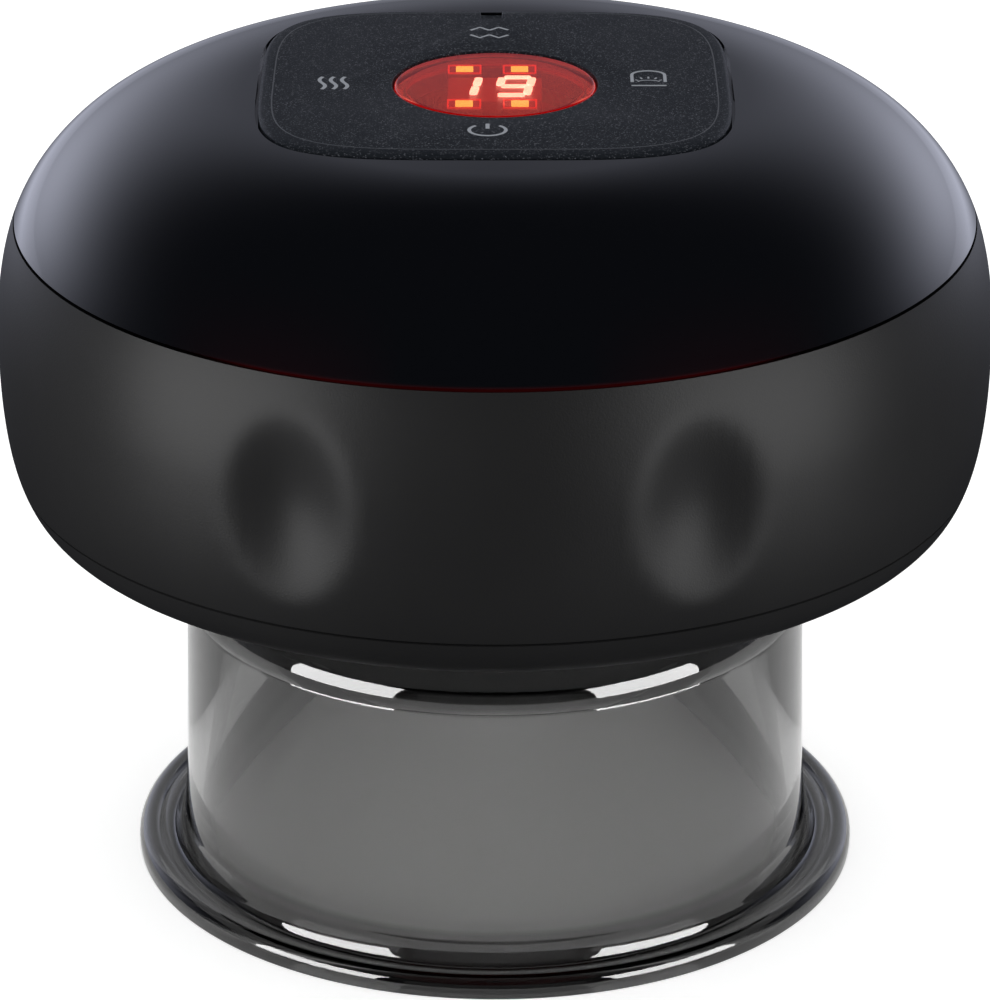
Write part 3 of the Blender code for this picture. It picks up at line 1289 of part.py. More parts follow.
def cup_profile():
    """The cup's section: neck with its groove, shoulder, wall, channel, crest and the rim below."""
    groove = NECK_RADIUS - GROOVE_DEPTH
    shoulder = bezier(
        (NECK_RADIUS, SHOULDER_TOP_Z + GAP),
        (NECK_RADIUS + GAP, SHOULDER_TOP_Z - GAP),
        (CUP_TOP_RADIUS, SHOULDER_TOP_Z - GAP),
        (CUP_TOP_RADIUS, SHOULDER_Z),
        7,
    )
    neck = [
        (NECK_RADIUS, NECK_TOP_Z),
        (NECK_RADIUS, GROOVE_HIGH_Z),
        (groove, GROOVE_HIGH_Z),
        (groove, GROOVE_LOW_Z),
        (NECK_RADIUS, GROOVE_LOW_Z),
    ]
    flare = bezier(
        (CUP_FOOT_RADIUS, FLARE_Z),
        (CUP_FOOT_RADIUS, CHANNEL_Z + GAP),
        (CUP_FOOT_RADIUS + GAP, CHANNEL_Z),
        (CHANNEL_RADIUS, CHANNEL_Z),
        5,
    )
    crest = bezier(
        (CHANNEL_RADIUS, CHANNEL_Z),
        (CREST_RADIUS - GAP, CREST_Z + 2 * GAP),
        (RIM_RADIUS - GAP, CREST_Z),
        (RIM_RADIUS, RIM_EDGE_Z),
        6,
    )[1:]
    under = [(RIM_RADIUS - RIM_EDGE_Z / 2, 0)]
    foot_inner = CUP_FOOT_RADIUS - CUP_WALL
    inner_foot = [
        (foot_inner + RIM_INNER_ROUND, 0),
        (foot_inner + RIM_INNER_ROUND / 3, RIM_INNER_ROUND / 3),
        (foot_inner, RIM_INNER_ROUND),
    ]
    shelf = inset(shoulder, CUP_WALL)[1:][::-1]
    neck_inner = NECK_RADIUS - NECK_WALL
    inside = [p for p in shelf if p[0] > neck_inner + GAP]
    top = [(neck_inner, inside[-1][1] + GAP), (neck_inner, NECK_TOP_Z)]
    return neck + shoulder + flare + crest + under + inner_foot + inside + top


def make_cup():
    turned("cup", cup_profile(), CUP_STEPS, smoked_clear(), closed=True)
    inner = NECK_RADIUS - GROOVE_DEPTH + FIT
    middle_z = (GROOVE_LOW_Z + GROOVE_HIGH_Z) / 2
    high = middle_z + SEAL_HEIGHT / 2
    low = middle_z - SEAL_HEIGHT / 2
    step = SEAL_HEIGHT / 4
    profile = [
        (SEAL_OUTER_RADIUS - step, high),
        (SEAL_OUTER_RADIUS, high - step),
        (SEAL_OUTER_RADIUS, low + step),
        (SEAL_OUTER_RADIUS - step, low),
        (inner, low),
        (inner, high),
    ]
    turned("cup_seal", profile, CUP_STEPS, silicone(), closed=True)


def main():
    global MODEL, CUTTERS
    clear_scene()
    MODEL = new_collection("cupping_massager")
    CUTTERS = new_collection("cutters")
    make_housing()
    make_dome()
    make_panel()
    make_boards()
    make_bottom_cover()
    make_head_screws()
    make_lamp()
    make_frame()
    make_battery()
    pump_axis = empty("pump_axis", (0, PUMP_Y, PUMP_Z), (0, TURN / 4, 0))
    make_motor(pump_axis)
    tilt = make_rotor(pump_axis)
    make_wobble(tilt)
    make_pump_body(pump_axis)
    make_valve()
    make_air_lines()
    make_cup()


main()
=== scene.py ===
import json
import math

import bpy
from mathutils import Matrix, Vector


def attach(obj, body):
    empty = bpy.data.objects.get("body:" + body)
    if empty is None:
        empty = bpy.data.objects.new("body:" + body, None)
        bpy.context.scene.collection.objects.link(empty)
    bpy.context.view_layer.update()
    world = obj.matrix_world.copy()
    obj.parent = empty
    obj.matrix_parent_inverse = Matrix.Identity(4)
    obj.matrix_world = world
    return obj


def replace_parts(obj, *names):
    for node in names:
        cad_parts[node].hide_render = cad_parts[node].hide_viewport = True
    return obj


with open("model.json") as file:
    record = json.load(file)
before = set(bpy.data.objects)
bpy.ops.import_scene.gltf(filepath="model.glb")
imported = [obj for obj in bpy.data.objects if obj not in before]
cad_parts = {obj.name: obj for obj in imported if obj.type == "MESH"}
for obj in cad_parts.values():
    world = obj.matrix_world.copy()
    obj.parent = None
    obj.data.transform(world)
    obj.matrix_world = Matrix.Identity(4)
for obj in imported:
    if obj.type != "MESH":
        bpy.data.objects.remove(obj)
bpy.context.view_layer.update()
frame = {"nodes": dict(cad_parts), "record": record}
nodes = frame["nodes"]
mm = 0.001
print("cupping massager: frame loaded")


# Shader maths as plain expressions
class Wire:
    def __init__(self, tree, socket=None):
        self.tree = tree
        self.socket = socket

    def make(self, kind, settings, inputs, output=0):
        node = self.tree.nodes.new(kind)
        for setting, value in settings.items():
            setattr(node, setting, value)
        for key, value in inputs.items():
            if isinstance(value, Wire):
                self.tree.links.new(value.socket, node.inputs[key])
            else:
                node.inputs[key].default_value = value
        return Wire(self.tree, node.outputs[output])

    def math(self, operation, first, second):
        return self.make("ShaderNodeMath", {"operation": operation}, {0: first, 1: second})

    def __add__(self, other):
        return self.math("ADD", self, other)

    def __radd__(self, other):
        return self.math("ADD", other, self)

    def __sub__(self, other):
        return self.math("SUBTRACT", self, other)

    def __rsub__(self, other):
        return self.math("SUBTRACT", other, self)

    def __mul__(self, other):
        return self.math("MULTIPLY", self, other)

    def __truediv__(self, other):
        return self.math("DIVIDE", self, other)

    def __pow__(self, other):
        return self.math("POWER", self, other)

    def largest(self, other):
        return self.math("MAXIMUM", self, other)

    def absolute(self):
        return self.math("ABSOLUTE", self, 0.0)

    def fading(self):
        # One at zero, and the smaller the larger the value
        return self.math("EXPONENT", 0.0 - self, 0.0)

    def steps(self, low, high):
        settings = {"interpolation_type": "SMOOTHSTEP"}
        inputs = {"Value": self, "From Min": low, "From Max": high}
        return self.make("ShaderNodeMapRange", settings, inputs)


def newMaterial(name):
    material = bpy.data.materials.new(name)
    material.use_nodes = True
    material.node_tree.nodes.clear()
    return material, Wire(material.node_tree)


def joinOutput(tree, kind, ends):
    output = tree.nodes.new(kind)
    for key, value in ends.items():
        tree.links.new(value.socket, output.inputs[key])


def finishMaterial(material, wire, inputs, volume=None):
    ends = {"Surface": wire.make("ShaderNodeBsdfPrincipled", {}, inputs)}
    if volume:
        ends["Volume"] = wire.make("ShaderNodeVolumeAbsorption", {}, volume)
    joinOutput(material.node_tree, "ShaderNodeOutputMaterial", ends)
    return material


def objectPlace(wire):
    return wire.make("ShaderNodeTexCoord", {}, {}, "Object")


def noise(wire, place, scale, detail=2.0):
    inputs = {"Vector": place, "Scale": scale, "Detail": detail}
    return wire.make("ShaderNodeTexNoise", {}, inputs)


def grains(wire, place, scale, output="Distance"):
    return wire.make("ShaderNodeTexVoronoi", {}, {"Vector": place, "Scale": scale}, output)


def bump(wire, height, distance, strength=1.0):
    inputs = {"Height": height, "Distance": distance, "Strength": strength}
    return wire.make("ShaderNodeBump", {}, inputs)


def blendColours(wire, share, *colours):
    # Each of the two colours is a wire or three numbers
    first, second = [colour if isinstance(colour, Wire) else (*colour, 1) for colour in colours]
    return wire.make("ShaderNodeMix", {"data_type": "RGBA"}, {0: share, 6: first, 7: second}, 2)


def axes(wire, place):
    return [wire.make("ShaderNodeSeparateXYZ", {}, {0: place}, axis) for axis in "XYZ"]


def grained(name, colour, other, roughness, look):
    # A moulded or ground finish: slow colour drift, fine grain in the gloss and in the height
    material, wire = newMaterial(name)
    place = objectPlace(wire)
    fine = noise(wire, place, look["grain"], 3.0)
    inputs = {
        "Base Color": blendColours(wire, noise(wire, place, look["drift"]), colour, other),
        "Roughness": roughness + (fine - 0.5) * look["spread"],
        "Metallic": look.get("metal", 0.0),
        "Normal": bump(wire, fine, look["height"]),
    }
    return finishMaterial(material, wire, inputs)


# Housing: soft-touch black with the fine bite of a textured mould
def housingFinish():
    look = {
        "colours": ((0.0060, 0.0060, 0.0062), (0.0078, 0.0078, 0.0080)),
        "roughness": 0.40,
        "spread": 0.06,
        "shine": 0.13,
        "cloud": 60,
        "bite": 5200,
        "height": 0.00002,
        "strength": 0.6,
    }
    material, wire = newMaterial("matteShell")
    place = objectPlace(wire)
    cloud = noise(wire, place, look["cloud"])
    inputs = {
        "Base Color": blendColours(wire, cloud, *look["colours"]),
        "Roughness": look["roughness"] + (cloud - 0.5) * look["spread"],
        "Specular IOR Level": look["shine"],
        "Normal": bump(wire, noise(wire, place, look["bite"], 1.0), look["height"], look["strength"]),
    }
    return finishMaterial(material, wire, inputs)


# Dome: smoked gloss, with a painted red glow, emission standing in for the lamps' light faint behind its
# lower edge, and a thin painted red line of it at its seam
def domeFinish():
    look = {
        "colour": (0.0033, 0.0037, 0.0050, 1),
        "roughness": 0.035,
        "haze": 35,
        "spread": 0.03,
        "coat": 0.3,
        "coatRoughness": 0.02,
        "red": (1.0, 0.03, 0.04),
        "front": (0.02, 0.045),
        "seam": 0.0721,
    }
    # Painted red glow on the dome: emission by place, faint just above its seam at each side of the front and
    # in a thin line along the seam, standing in for the lamps inside
    lamps = {"glow": 0.003, "height": 0.009, "side": 0.021, "width": 0.012}
    edge = {"glow": 0.015, "height": 0.0004, "end": 0.030, "fade": 0.008}
    material, wire = newMaterial("glossDome")
    place = objectPlace(wire)
    x, y, z = axes(wire, place)
    beside = 1 - ((x.absolute() - lamps["side"]) / lamps["width"]) ** 2.0
    low = (look["seam"] + lamps["height"] - z) / lamps["height"]
    glow = beside.largest(0.0) * low.largest(0.0) ** 2.0 * lamps["glow"]
    line = (look["seam"] + edge["height"] - z).steps(0.0, edge["height"])
    line = line * (edge["end"] - x.absolute()).steps(0.0, edge["fade"])
    glow = (glow + line * edge["glow"]) * (0.0 - y).steps(*look["front"])
    inputs = {
        "Base Color": look["colour"],
        "Roughness": look["roughness"] + noise(wire, place, look["haze"]) * look["spread"],
        "Emission Color": blendColours(wire, glow, (0, 0, 0), look["red"]),
        "Emission Strength": 1.0,
        "Coat Weight": look["coat"],
        "Coat Roughness": look["coatRoughness"],
    }
    return finishMaterial(material, wire, inputs)


# Panel film: blue-grey satin with fine bright flecks, a little dimmer on its sloped edge
def panelFinish(name, brightness):
    look = {
        "colours": ((0.007, 0.010, 0.015), (0.20, 0.21, 0.24)),
        "flecks": 9500,
        "least": 0.80,
        "cloud": 90,
        "cloudShare": 0.05,
        "roughness": 0.50,
        "spread": 0.2,
        "shine": 0.12,
        "height": 0.00003,
        "strength": 0.7,
    }
    material, wire = newMaterial(name)
    place = objectPlace(wire)
    spark = axes(wire, grains(wire, place, look["flecks"], "Color"))[0]
    grain = noise(wire, place, look["flecks"])
    cloud = noise(wire, place, look["cloud"])
    mask = (spark - look["least"]).largest(0.0) ** 2.0 * brightness + cloud * look["cloudShare"]
    inputs = {
        "Base Color": blendColours(wire, mask, *look["colours"]),
        "Roughness": look["roughness"] + (grain - 0.5) * look["spread"],
        "Specular IOR Level": look["shine"],
        "Normal": bump(wire, grain, look["height"], look["strength"]),
    }
    return finishMaterial(material, wire, inputs)


# Lens: clear red, with a faint painted glow, emission that differs between its inside and its edge and stands
# in for the light behind it
def lensFinish(name, rim):
    look = {
        "colour": (0.95, 0.16, 0.10, 1),
        "tint": (0.12, 0.04, 0.04, 1),
        "bend": 1.45,
        "roughness": 0.002,
        "haze": 120,
        "spread": 0.006,
    }
    material, wire = newMaterial(name)
    place = objectPlace(wire)
    x, y = axes(wire, place)[:2]
    y = y - rim["y"]
    ring = ((x * x + y * y) ** 0.5).steps(rim["start"], rim["end"])
    inputs = {
        "Base Color": look["colour"],
        "Roughness": look["roughness"] + noise(wire, place, look["haze"]) * look["spread"],
        "Specular Tint": look["tint"],
        "Transmission Weight": 1.0,
        "IOR": look["bend"],
        "Emission Color": blendColours(wire, ring, rim["inside"], rim["edge"]),
        "Emission Strength": 1.0,
    }
    return finishMaterial(material, wire, inputs)


# Lit parts: a colour that varies a little, as behind a diffuser, and its strength
glows = {
    "amberLamp": ((0.40, 1.0, 0.24), 3.8),
    "lampFrame": ((1.0, 0.10, 0.06), 0.16),
    "digitGlow": ((0.55, 0.93, 1.0), 7.0),
}


def glowing(name):
    look = {"cloud": 900, "dim": 0.75, "roughness": 0.4}
    colour, strength = glows[name]
    material, wire = newMaterial(name)
    cloud = noise(wire, objectPlace(wire), look["cloud"])
    dim = [share * look["dim"] for share in colour]
    inputs = {
        "Base Color": (*colour, 1),
        "Roughness": look["roughness"],
        "Emission Color": blendColours(wire, cloud, dim, colour),
        "Emission Strength": strength,
    }
    return finishMaterial(material, wire, inputs)


# Cup: smoked clear plastic, darker in the thick rim, and darkest in the shoulder under the head, where the
# dark tint is painted shade
def cupFinish():
    look = {
        "density": 120.0,
        "bend": 1.47,
        "wall": 0.47,
        "rim": 0.17,
        "rimTop": (0.0036, 0.0046),
        "shoulder": 0.06,
        "shoulderShadeLow": (0.0293, 0.0303),
        "ripple": 140,
        "height": 0.00001,
        "strength": 0.15,
    }
    material, wire = newMaterial("smokedCup")
    place = objectPlace(wire)
    z = axes(wire, place)[2]
    low = 1 - z.steps(*look["rimTop"])
    # Painted shade: from this height up the shoulder, under the head, gets a much darker tint than the wall
    high = z.steps(*look["shoulderShadeLow"])
    tint = look["wall"] + low * (look["rim"] - look["wall"]) + high * (look["shoulder"] - look["wall"])
    inputs = {
        "Base Color": blendColours(wire, tint, (0, 0, 0), (1, 1, 1)),
        "Roughness": 0.0,
        "Transmission Weight": 1.0,
        "IOR": look["bend"],
        "Normal": bump(wire, noise(wire, place, look["ripple"]), look["height"], look["strength"]),
    }
    volume = {"Color": (0, 0, 0, 1), "Density": look["density"]}
    return finishMaterial(material, wire, inputs, volume)


# Circuit boards: green mask over thin copper tracks
def boardFinish():
    look = {
        "mask": ((0.010, 0.085, 0.030), (0.030, 0.20, 0.07)),
        "tracks": (0.62, 0.70),
        "pad": (0.72, 0.68, 0.55),
        "padScale": 420,
        "padSize": 0.00035,
        "padEdge": 0.0001,
        "height": 0.00003,
    }
    material, wire = newMaterial("circuitBoard")
    place = objectPlace(wire)
    settings = {"wave_type": "BANDS", "bands_direction": "X"}
    bent = {"Vector": place, "Scale": 260.0, "Distortion": 9.0, "Detail": 0.0}
    tracks = wire.make("ShaderNodeTexWave", settings, bent).steps(*look["tracks"])
    far = grains(wire, place, look["padScale"]) / look["padScale"]
    pads = (look["padSize"] - far).steps(0.0, look["padEdge"])
    mask = blendColours(wire, tracks, *look["mask"])
    inputs = {
        "Base Color": blendColours(wire, pads, mask, look["pad"]),
        "Roughness": 0.34 - pads * 0.1,
        "Metallic": pads * 0.8,
        "Normal": bump(wire, tracks + pads, look["height"]),
    }
    return finishMaterial(material, wire, inputs)


plastic = {"drift": 70, "grain": 1400, "spread": 0.12, "height": 0.00002}
metal = {"drift": 240, "grain": 2600, "spread": 0.16, "height": 0.000008, "metal": 1.0}
rubber = {"drift": 120, "grain": 1900, "spread": 0.1, "height": 0.00002}
# Painted glow of the two red lenses: emission colours for the inside and the edge, standing in for the lit
# display and lamps behind them
windowPaintedGlow = {"y": 0.0001, "start": 0.0070, "end": 0.0104, "inside": (0.065, 0, 0), "edge": (0.045, 0, 0)}
lampLensPaintedGlow = {"y": 0.0, "start": 0.018, "end": 0.021, "inside": (0.02, 0, 0), "edge": (0.05, 0, 0)}
finishes = {
    "matte_shell": housingFinish(),
    "gloss_dome": domeFinish(),
    "panel_film": panelFinish("panelFilm", 18.0),
    "red_window": lensFinish("redWindow", windowPaintedGlow),
    "display": grained("displayBase", (0.10, 0.004, 0.003), (0.16, 0.006, 0.004), 0.4, plastic),
    "circuit_board": boardFinish(),
    "smoked_cup": cupFinish(),
    "seal_silicone": grained("sealSilicone", (0.07, 0.07, 0.075), (0.09, 0.09, 0.095), 0.5, rubber),
    "tube_silicone": grained("tubeSilicone", (0.70, 0.71, 0.69), (0.78, 0.79, 0.77), 0.45, rubber),
    "white_nylon": grained("whiteNylon", (0.76, 0.76, 0.72), (0.82, 0.82, 0.79), 0.42, plastic),
    "black_plastic": grained("blackPlastic", (0.015, 0.015, 0.016), (0.024, 0.024, 0.025), 0.45, plastic),
    "black_rubber": grained("blackRubber", (0.015, 0.015, 0.015), (0.022, 0.022, 0.022), 0.65, rubber),
    "zinc_steel": grained("zincSteel", (0.62, 0.64, 0.66), (0.74, 0.75, 0.76), 0.32, metal),
    "steel": grained("groundSteel", (0.55, 0.55, 0.54), (0.66, 0.66, 0.65), 0.28, metal),
    "spring_steel": grained("springSteel", (0.70, 0.70, 0.70), (0.80, 0.80, 0.80), 0.18, metal),
    "copper": grained("copperWire", (0.62, 0.22, 0.09), (0.80, 0.34, 0.16), 0.3, metal),
    "bronze": grained("sinteredBronze", (0.48, 0.31, 0.15), (0.60, 0.40, 0.21), 0.42, metal),
    "ferrite": grained("ferrite", (0.05, 0.05, 0.055), (0.08, 0.08, 0.085), 0.6, plastic),
    "battery_wrap": grained("batteryWrap", (0.07, 0.25, 0.50), (0.10, 0.32, 0.58), 0.3, plastic),
    "filter_foam": grained("filterFoam", (0.2, 0.2, 0.21), (0.3, 0.3, 0.31), 0.9, rubber),
}
for part in frame["record"]["subparts"]:
    node = nodes[part["node"]]
    node.data.materials.clear()
    node.data.materials.append(finishes[part["material_slot"]])
print("cupping massager: finishes made")


# Small tools for the modelling: points closer than weld become one, and a cutter reaches past what it cuts
weld = 0.000004
past = 1


def deselect():
    if bpy.context.object and bpy.context.object.mode == "EDIT":
        bpy.ops.object.mode_set(mode="OBJECT")
    bpy.ops.object.select_all(action="DESELECT")


def makeActive(piece):
    deselect()
    piece.select_set(True)
    bpy.context.view_layer.objects.active = piece


def rename(piece, name):
    piece.name = name
    piece.data.name = name
    return piece


def settled(name):
    bpy.ops.object.transform_apply(location=True, rotation=True, scale=True)
    return rename(bpy.context.object, name)


def selectMesh(piece):
    makeActive(piece)
    bpy.ops.object.mode_set(mode="EDIT")
    bpy.ops.mesh.select_all(action="SELECT")


def shiftMesh(piece, move):
    selectMesh(piece)
    bpy.ops.transform.translate(value=[step * mm for step in move])
    bpy.ops.object.mode_set(mode="OBJECT")


def closeMesh():
    bpy.ops.mesh.select_all(action="SELECT")
    bpy.ops.mesh.remove_doubles(threshold=weld)
    bpy.ops.mesh.normals_make_consistent(inside=False)
    bpy.ops.object.mode_set(mode="OBJECT")


def smoothFaces(piece, angle):
    makeActive(piece)
    bpy.ops.object.shade_smooth_by_angle(angle=math.radians(angle))


def pickFaces(piece, wanted):
    bpy.ops.object.mode_set(mode="EDIT")
    bpy.ops.mesh.select_mode(type="FACE")
    bpy.ops.mesh.select_all(action="DESELECT")
    bpy.ops.object.mode_set(mode="OBJECT")
    for face in piece.data.polygons:
        face.select = wanted(face)
    bpy.ops.object.mode_set(mode="EDIT")


def spotAt(place, turn):
    # The point this far from the axis, turned by degrees from the right
    angle = math.radians(turn)
    return place * math.cos(angle), place * math.sin(angle)


def curvePoints(controls, count, begin=0.0, end=1.0):
    points = []
    for i in range(count):
        t = begin + (end - begin) * i / (count - 1)
        shares = ((1 - t) ** 3, 3 * t * (1 - t) ** 2, 3 * t * t * (1 - t), t**3)
        points.append(tuple(sum(s * p[k] for s, p in zip(shares, controls)) for k in (0, 1)))
    return points


def roundCorner(corner, offsets, count):
    # A curve whose controls are given by how far they lie from the corner
    return curvePoints([(corner[0] + across, corner[1] + up) for across, up in offsets], count)


def shareAt(controls, height):
    # How far along a falling curve it passes this height
    low, high = 0.0, 1.0
    for _ in range(30):
        middle = (low + high) / 2
        if curvePoints(controls, 2, middle, middle)[0][1] > height:
            low = middle
        else:
            high = middle
    return low


def insetPoints(points, wall):
    # The same line of points moved in by the wall's thickness
    moved = []
    for i, (r, z) in enumerate(points):
        before, after = points[max(i - 1, 0)], points[min(i + 1, len(points) - 1)]
        run = Vector((after[0] - before[0], after[1] - before[1])).normalized()
        moved.append((r + run.y * wall, z - run.x * wall))
    return moved


def drawLine(points):
    # One vertex pushed from point to point, all in millimetres
    deselect()
    first = [v * mm for v in points[0]]
    bpy.ops.mesh.primitive_plane_add(size=mm, location=first)
    line = settled("line")
    bpy.ops.object.mode_set(mode="EDIT")
    bpy.ops.mesh.select_mode(type="VERT")
    bpy.ops.mesh.merge(type="CENTER")
    for start, stop in zip(points, points[1:]):
        move = [(b - a) * mm for a, b in zip(start, stop)]
        bpy.ops.mesh.extrude_region_move(TRANSFORM_OT_translate={"value": move})
    bpy.ops.mesh.select_all(action="SELECT")
    return line


def turnSection(name, section, steps, closed=False, smooth=30):
    # A section of (radius, height) in millimetres, spun about the object's axis
    section = [p for i, p in enumerate(section) if i == 0 or p != section[i - 1]]
    if closed:
        section = section + [section[0]]
    piece = drawLine([(r, 0, z) for r, z in section])
    bpy.ops.mesh.spin(steps=steps, angle=2 * math.pi, center=(0, 0, 0), axis=(0, 0, 1))
    closeMesh()
    smoothFaces(piece, smooth)
    return rename(piece, name)


def roundRod(name, radius, low, high, place, vertices=64):
    deselect()
    size = {"vertices": vertices, "radius": radius * mm, "depth": (high - low) * mm}
    middle = (place[0] * mm, place[1] * mm, (low + high) / 2 * mm)
    bpy.ops.mesh.primitive_cylinder_add(location=middle, **size)
    return settled(name)


def roundBlock(name, size, corner, low, high, place, segments=16):
    deselect()
    bpy.ops.mesh.primitive_plane_add(size=1, location=(place[0] * mm, place[1] * mm, low * mm))
    bpy.context.object.scale = (size[0] * mm, size[1] * mm, 1)
    block = settled(name)
    bpy.ops.object.mode_set(mode="EDIT")
    bpy.ops.mesh.select_all(action="SELECT")
    bpy.ops.mesh.bevel(offset=corner * mm, segments=segments, affect="VERTICES")
    bpy.ops.mesh.select_all(action="SELECT")
    bpy.ops.mesh.extrude_region_move(TRANSFORM_OT_translate={"value": (0, 0, (high - low) * mm)})
    closeMesh()
    return block


def softSquare(size, squareness, place, count=120):
    # An outline between an ellipse and a rectangle
    outline = []
    for i in range(count + 1):
        across, along = math.cos(2 * math.pi * i / count), math.sin(2 * math.pi * i / count)
        x = math.copysign(size[0] / 2 * abs(across) ** (2 / squareness), across)
        y = math.copysign(size[1] / 2 * abs(along) ** (2 / squareness), along)
        outline.append((place[0] + x, place[1] + y))
    return outline


def softBlock(name, size, squareness, low, high, place):
    block = drawLine([(x, y, low) for x, y in softSquare(size, squareness, place)])
    bpy.ops.mesh.remove_doubles(threshold=weld)
    bpy.ops.mesh.edge_face_add()
    bpy.ops.mesh.extrude_region_move(TRANSFORM_OT_translate={"value": (0, 0, (high - low) * mm)})
    bpy.ops.mesh.select_all(action="SELECT")
    bpy.ops.mesh.normals_make_consistent(inside=False)
    bpy.ops.object.mode_set(mode="OBJECT")
    return rename(block, name)


def modify(piece, kind, settings):
    makeActive(piece)
    bpy.ops.object.modifier_add(type=kind)
    step = piece.modifiers[-1]
    for setting, value in settings.items():
        setattr(step, setting, value)
    bpy.ops.object.modifier_apply(modifier=step.name)


def combine(piece, tools, operation):
    for tool in tools:
        modify(piece, "BOOLEAN", {"operation": operation, "solver": "EXACT", "object": tool})
        bpy.data.objects.remove(tool)


def softenEdges(piece, width, angle, segments=3):
    limit = {"limit_method": "ANGLE", "angle_limit": math.radians(angle)}
    modify(piece, "BEVEL", {"width": width * mm, "segments": segments, **limit})
    smoothFaces(piece, 30)


def joinPieces(name, pieces):
    makeActive(pieces[0])
    for piece in pieces:
        piece.select_set(True)
    bpy.ops.object.join()
    return settled(name)


def dress(piece, body, slot, replaced=(), finish=None):
    piece.data.materials.clear()
    piece.data.materials.append(finish or finishes[slot])
    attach(piece, body)
    for node in replaced:
        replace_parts(piece, node)
    return piece


# The head's outline, as three curves of (radius, height) in millimetres, with the reach of their handles
head = {
    "wide": (52.0, 59.7),
    "seam": (49.95, 72.06),
    "lean": 0.40,
    "underside": (45.9, 41.0),
    "coverSeam": 45.56,
    "crown": (26.0, 85.4),
    "domePulls": (13.25, 7.8),
    "upperPulls": (3.75, 3.95),
    "lowerPulls": (11.0, 4.7),
    "wall": 2.2,
    "gap": 0.3,
    "tongue": (1.0, 2.5),
    "steps": 240,
}
screws = {"turns": (45, 135, 225, 315), "place": 42.4}
posts = {"turns": (0, 180, 270), "place": 42.0}


def headCurves():
    run = (math.sin(head["lean"]), -math.cos(head["lean"]))
    seam, wide, under, crown = head["seam"], head["wide"], head["underside"], head["crown"]
    start, end = head["domePulls"]
    dome = (crown, (crown[0] + start, crown[1]), (seam[0] - run[0] * end, seam[1] - run[1] * end), seam)
    start, end = head["upperPulls"]
    upper = (seam, (seam[0] + run[0] * start, seam[1] + run[1] * start), (wide[0], wide[1] + end), wide)
    start, end = head["lowerPulls"]
    lower = (wide, (wide[0], wide[1] - start), (under[0] + end, under[1]), under)
    return dome, upper, lower


domeCurve, upperCurve, lowerCurve = headCurves()


# Housing shell with its finger dimples, screw columns and charging mouth
def pressDimples(shell):
    dimple = {"azimuth": 23.0, "z": 58.6, "height": 21.5, "width": 14.5, "depth": 2.1, "falloff": 1.6}
    pressed = shell.vertex_groups.new(name="pressed")
    for vertex in shell.data.vertices:
        x, y, z = (v / mm for v in vertex.co)
        angle = math.atan2(abs(x), abs(y)) - math.radians(dimple["azimuth"])
        across = angle * math.hypot(x, y) / (dimple["width"] / 2)
        along = (z - dimple["z"]) / (dimple["height"] / 2)
        reach = min(1.0, across * across + along * along)
        pressed.add([vertex.index], (1 - reach) ** dimple["falloff"], "REPLACE")
    depth = -dimple["depth"] * mm
    modify(shell, "DISPLACE", {"vertex_group": "pressed", "mid_level": 0, "strength": depth})
    shell.vertex_groups.clear()


def makeHousing():
    column = {"radius": 3.0, "low": 45.3, "high": 54.0, "bore": 1.35, "boreDepth": 6.5}
    rib = {"place": 46.2, "size": (8.0, 2.4), "low": 49.6}
    mouth = {"size": (9.5, 3.8), "corner": 1.6, "z": 56.5, "near": 40, "far": 60}
    half = head["gap"] / 2
    outer = curvePoints(upperCurve, 14, shareAt(upperCurve, head["seam"][1] - half), 1)[:-1]
    outer += curvePoints(lowerCurve, 28, 0, shareAt(lowerCurve, head["coverSeam"] + half))
    shell = turnSection("housingShell", outer, head["steps"], smooth=60)
    pressDimples(shell)
    modify(shell, "SOLIDIFY", {"thickness": head["wall"] * mm, "offset": -1})
    added, taken = [], []
    low, high = column["low"], column["high"]
    for turn in screws["turns"]:
        spot = spotAt(screws["place"], turn)
        added.append(roundRod("column", column["radius"], low, high, spot, 24))
        taken.append(roundRod("bore", column["bore"], low - past, low + column["boreDepth"], spot, 20))
        bpy.ops.mesh.primitive_cube_add(size=1, location=(rib["place"] * mm, 0, (rib["low"] + high) / 2 * mm))
        bpy.context.object.scale = [side * mm for side in (*rib["size"], high - rib["low"])]
        settled("rib").rotation_euler.z = math.radians(turn)
        added.append(settled("rib"))
    combine(shell, added, "UNION")
    near, far = mouth["near"], mouth["far"]
    slot = roundBlock("mouth", mouth["size"], mouth["corner"], near, far, (0, mouth["z"]))
    # Laid over, the slot lies in front, so it is shifted through to the back
    slot.rotation_euler.x = math.pi / 2
    makeActive(slot)
    shiftMesh(settled("mouth"), (0, near + far, 0))
    combine(shell, taken + [slot], "DIFFERENCE")
    smoothFaces(shell, 40)
    return dress(shell, "head", "matte_shell", ["housing_shell"])


makeHousing()
print("cupping massager: housing turned")

panel = {
    "size": (48.5, 46.4),
    "squareness": 4.3,
    "y": 1.6,
    "top": 85.9,
    "low": 83.9,
    "round": 0.35,
    "band": 1.05,
    "drop": 0.45,
    "shares": (0.6, 0.4),
    "bandLow": 85.2,
    "slopes": (0.2, 0.995),
    "edge": 0.12,
    "line": 0.14,
}
notch = {"size": (2.3, 7.6), "corner": 1.1, "x": -0.4, "depth": 0.7}
window = {
    "y": 0.1,
    "radius": 10.6,
    "edge": ((-0.5, 0), (-0.2, 0), (0, -0.1), (0, -0.4)),
    "ledge": 9.4,
    "gap": 0.15,
    "top": 85.8,
    "low": 83.9,
    "plate": 0.9,
    "recess": 9.2,
}
keys = ((-16.2, 1.0), (16.2, 1.0), (0, -14.6), (0, 16.6))
cutTop = 90


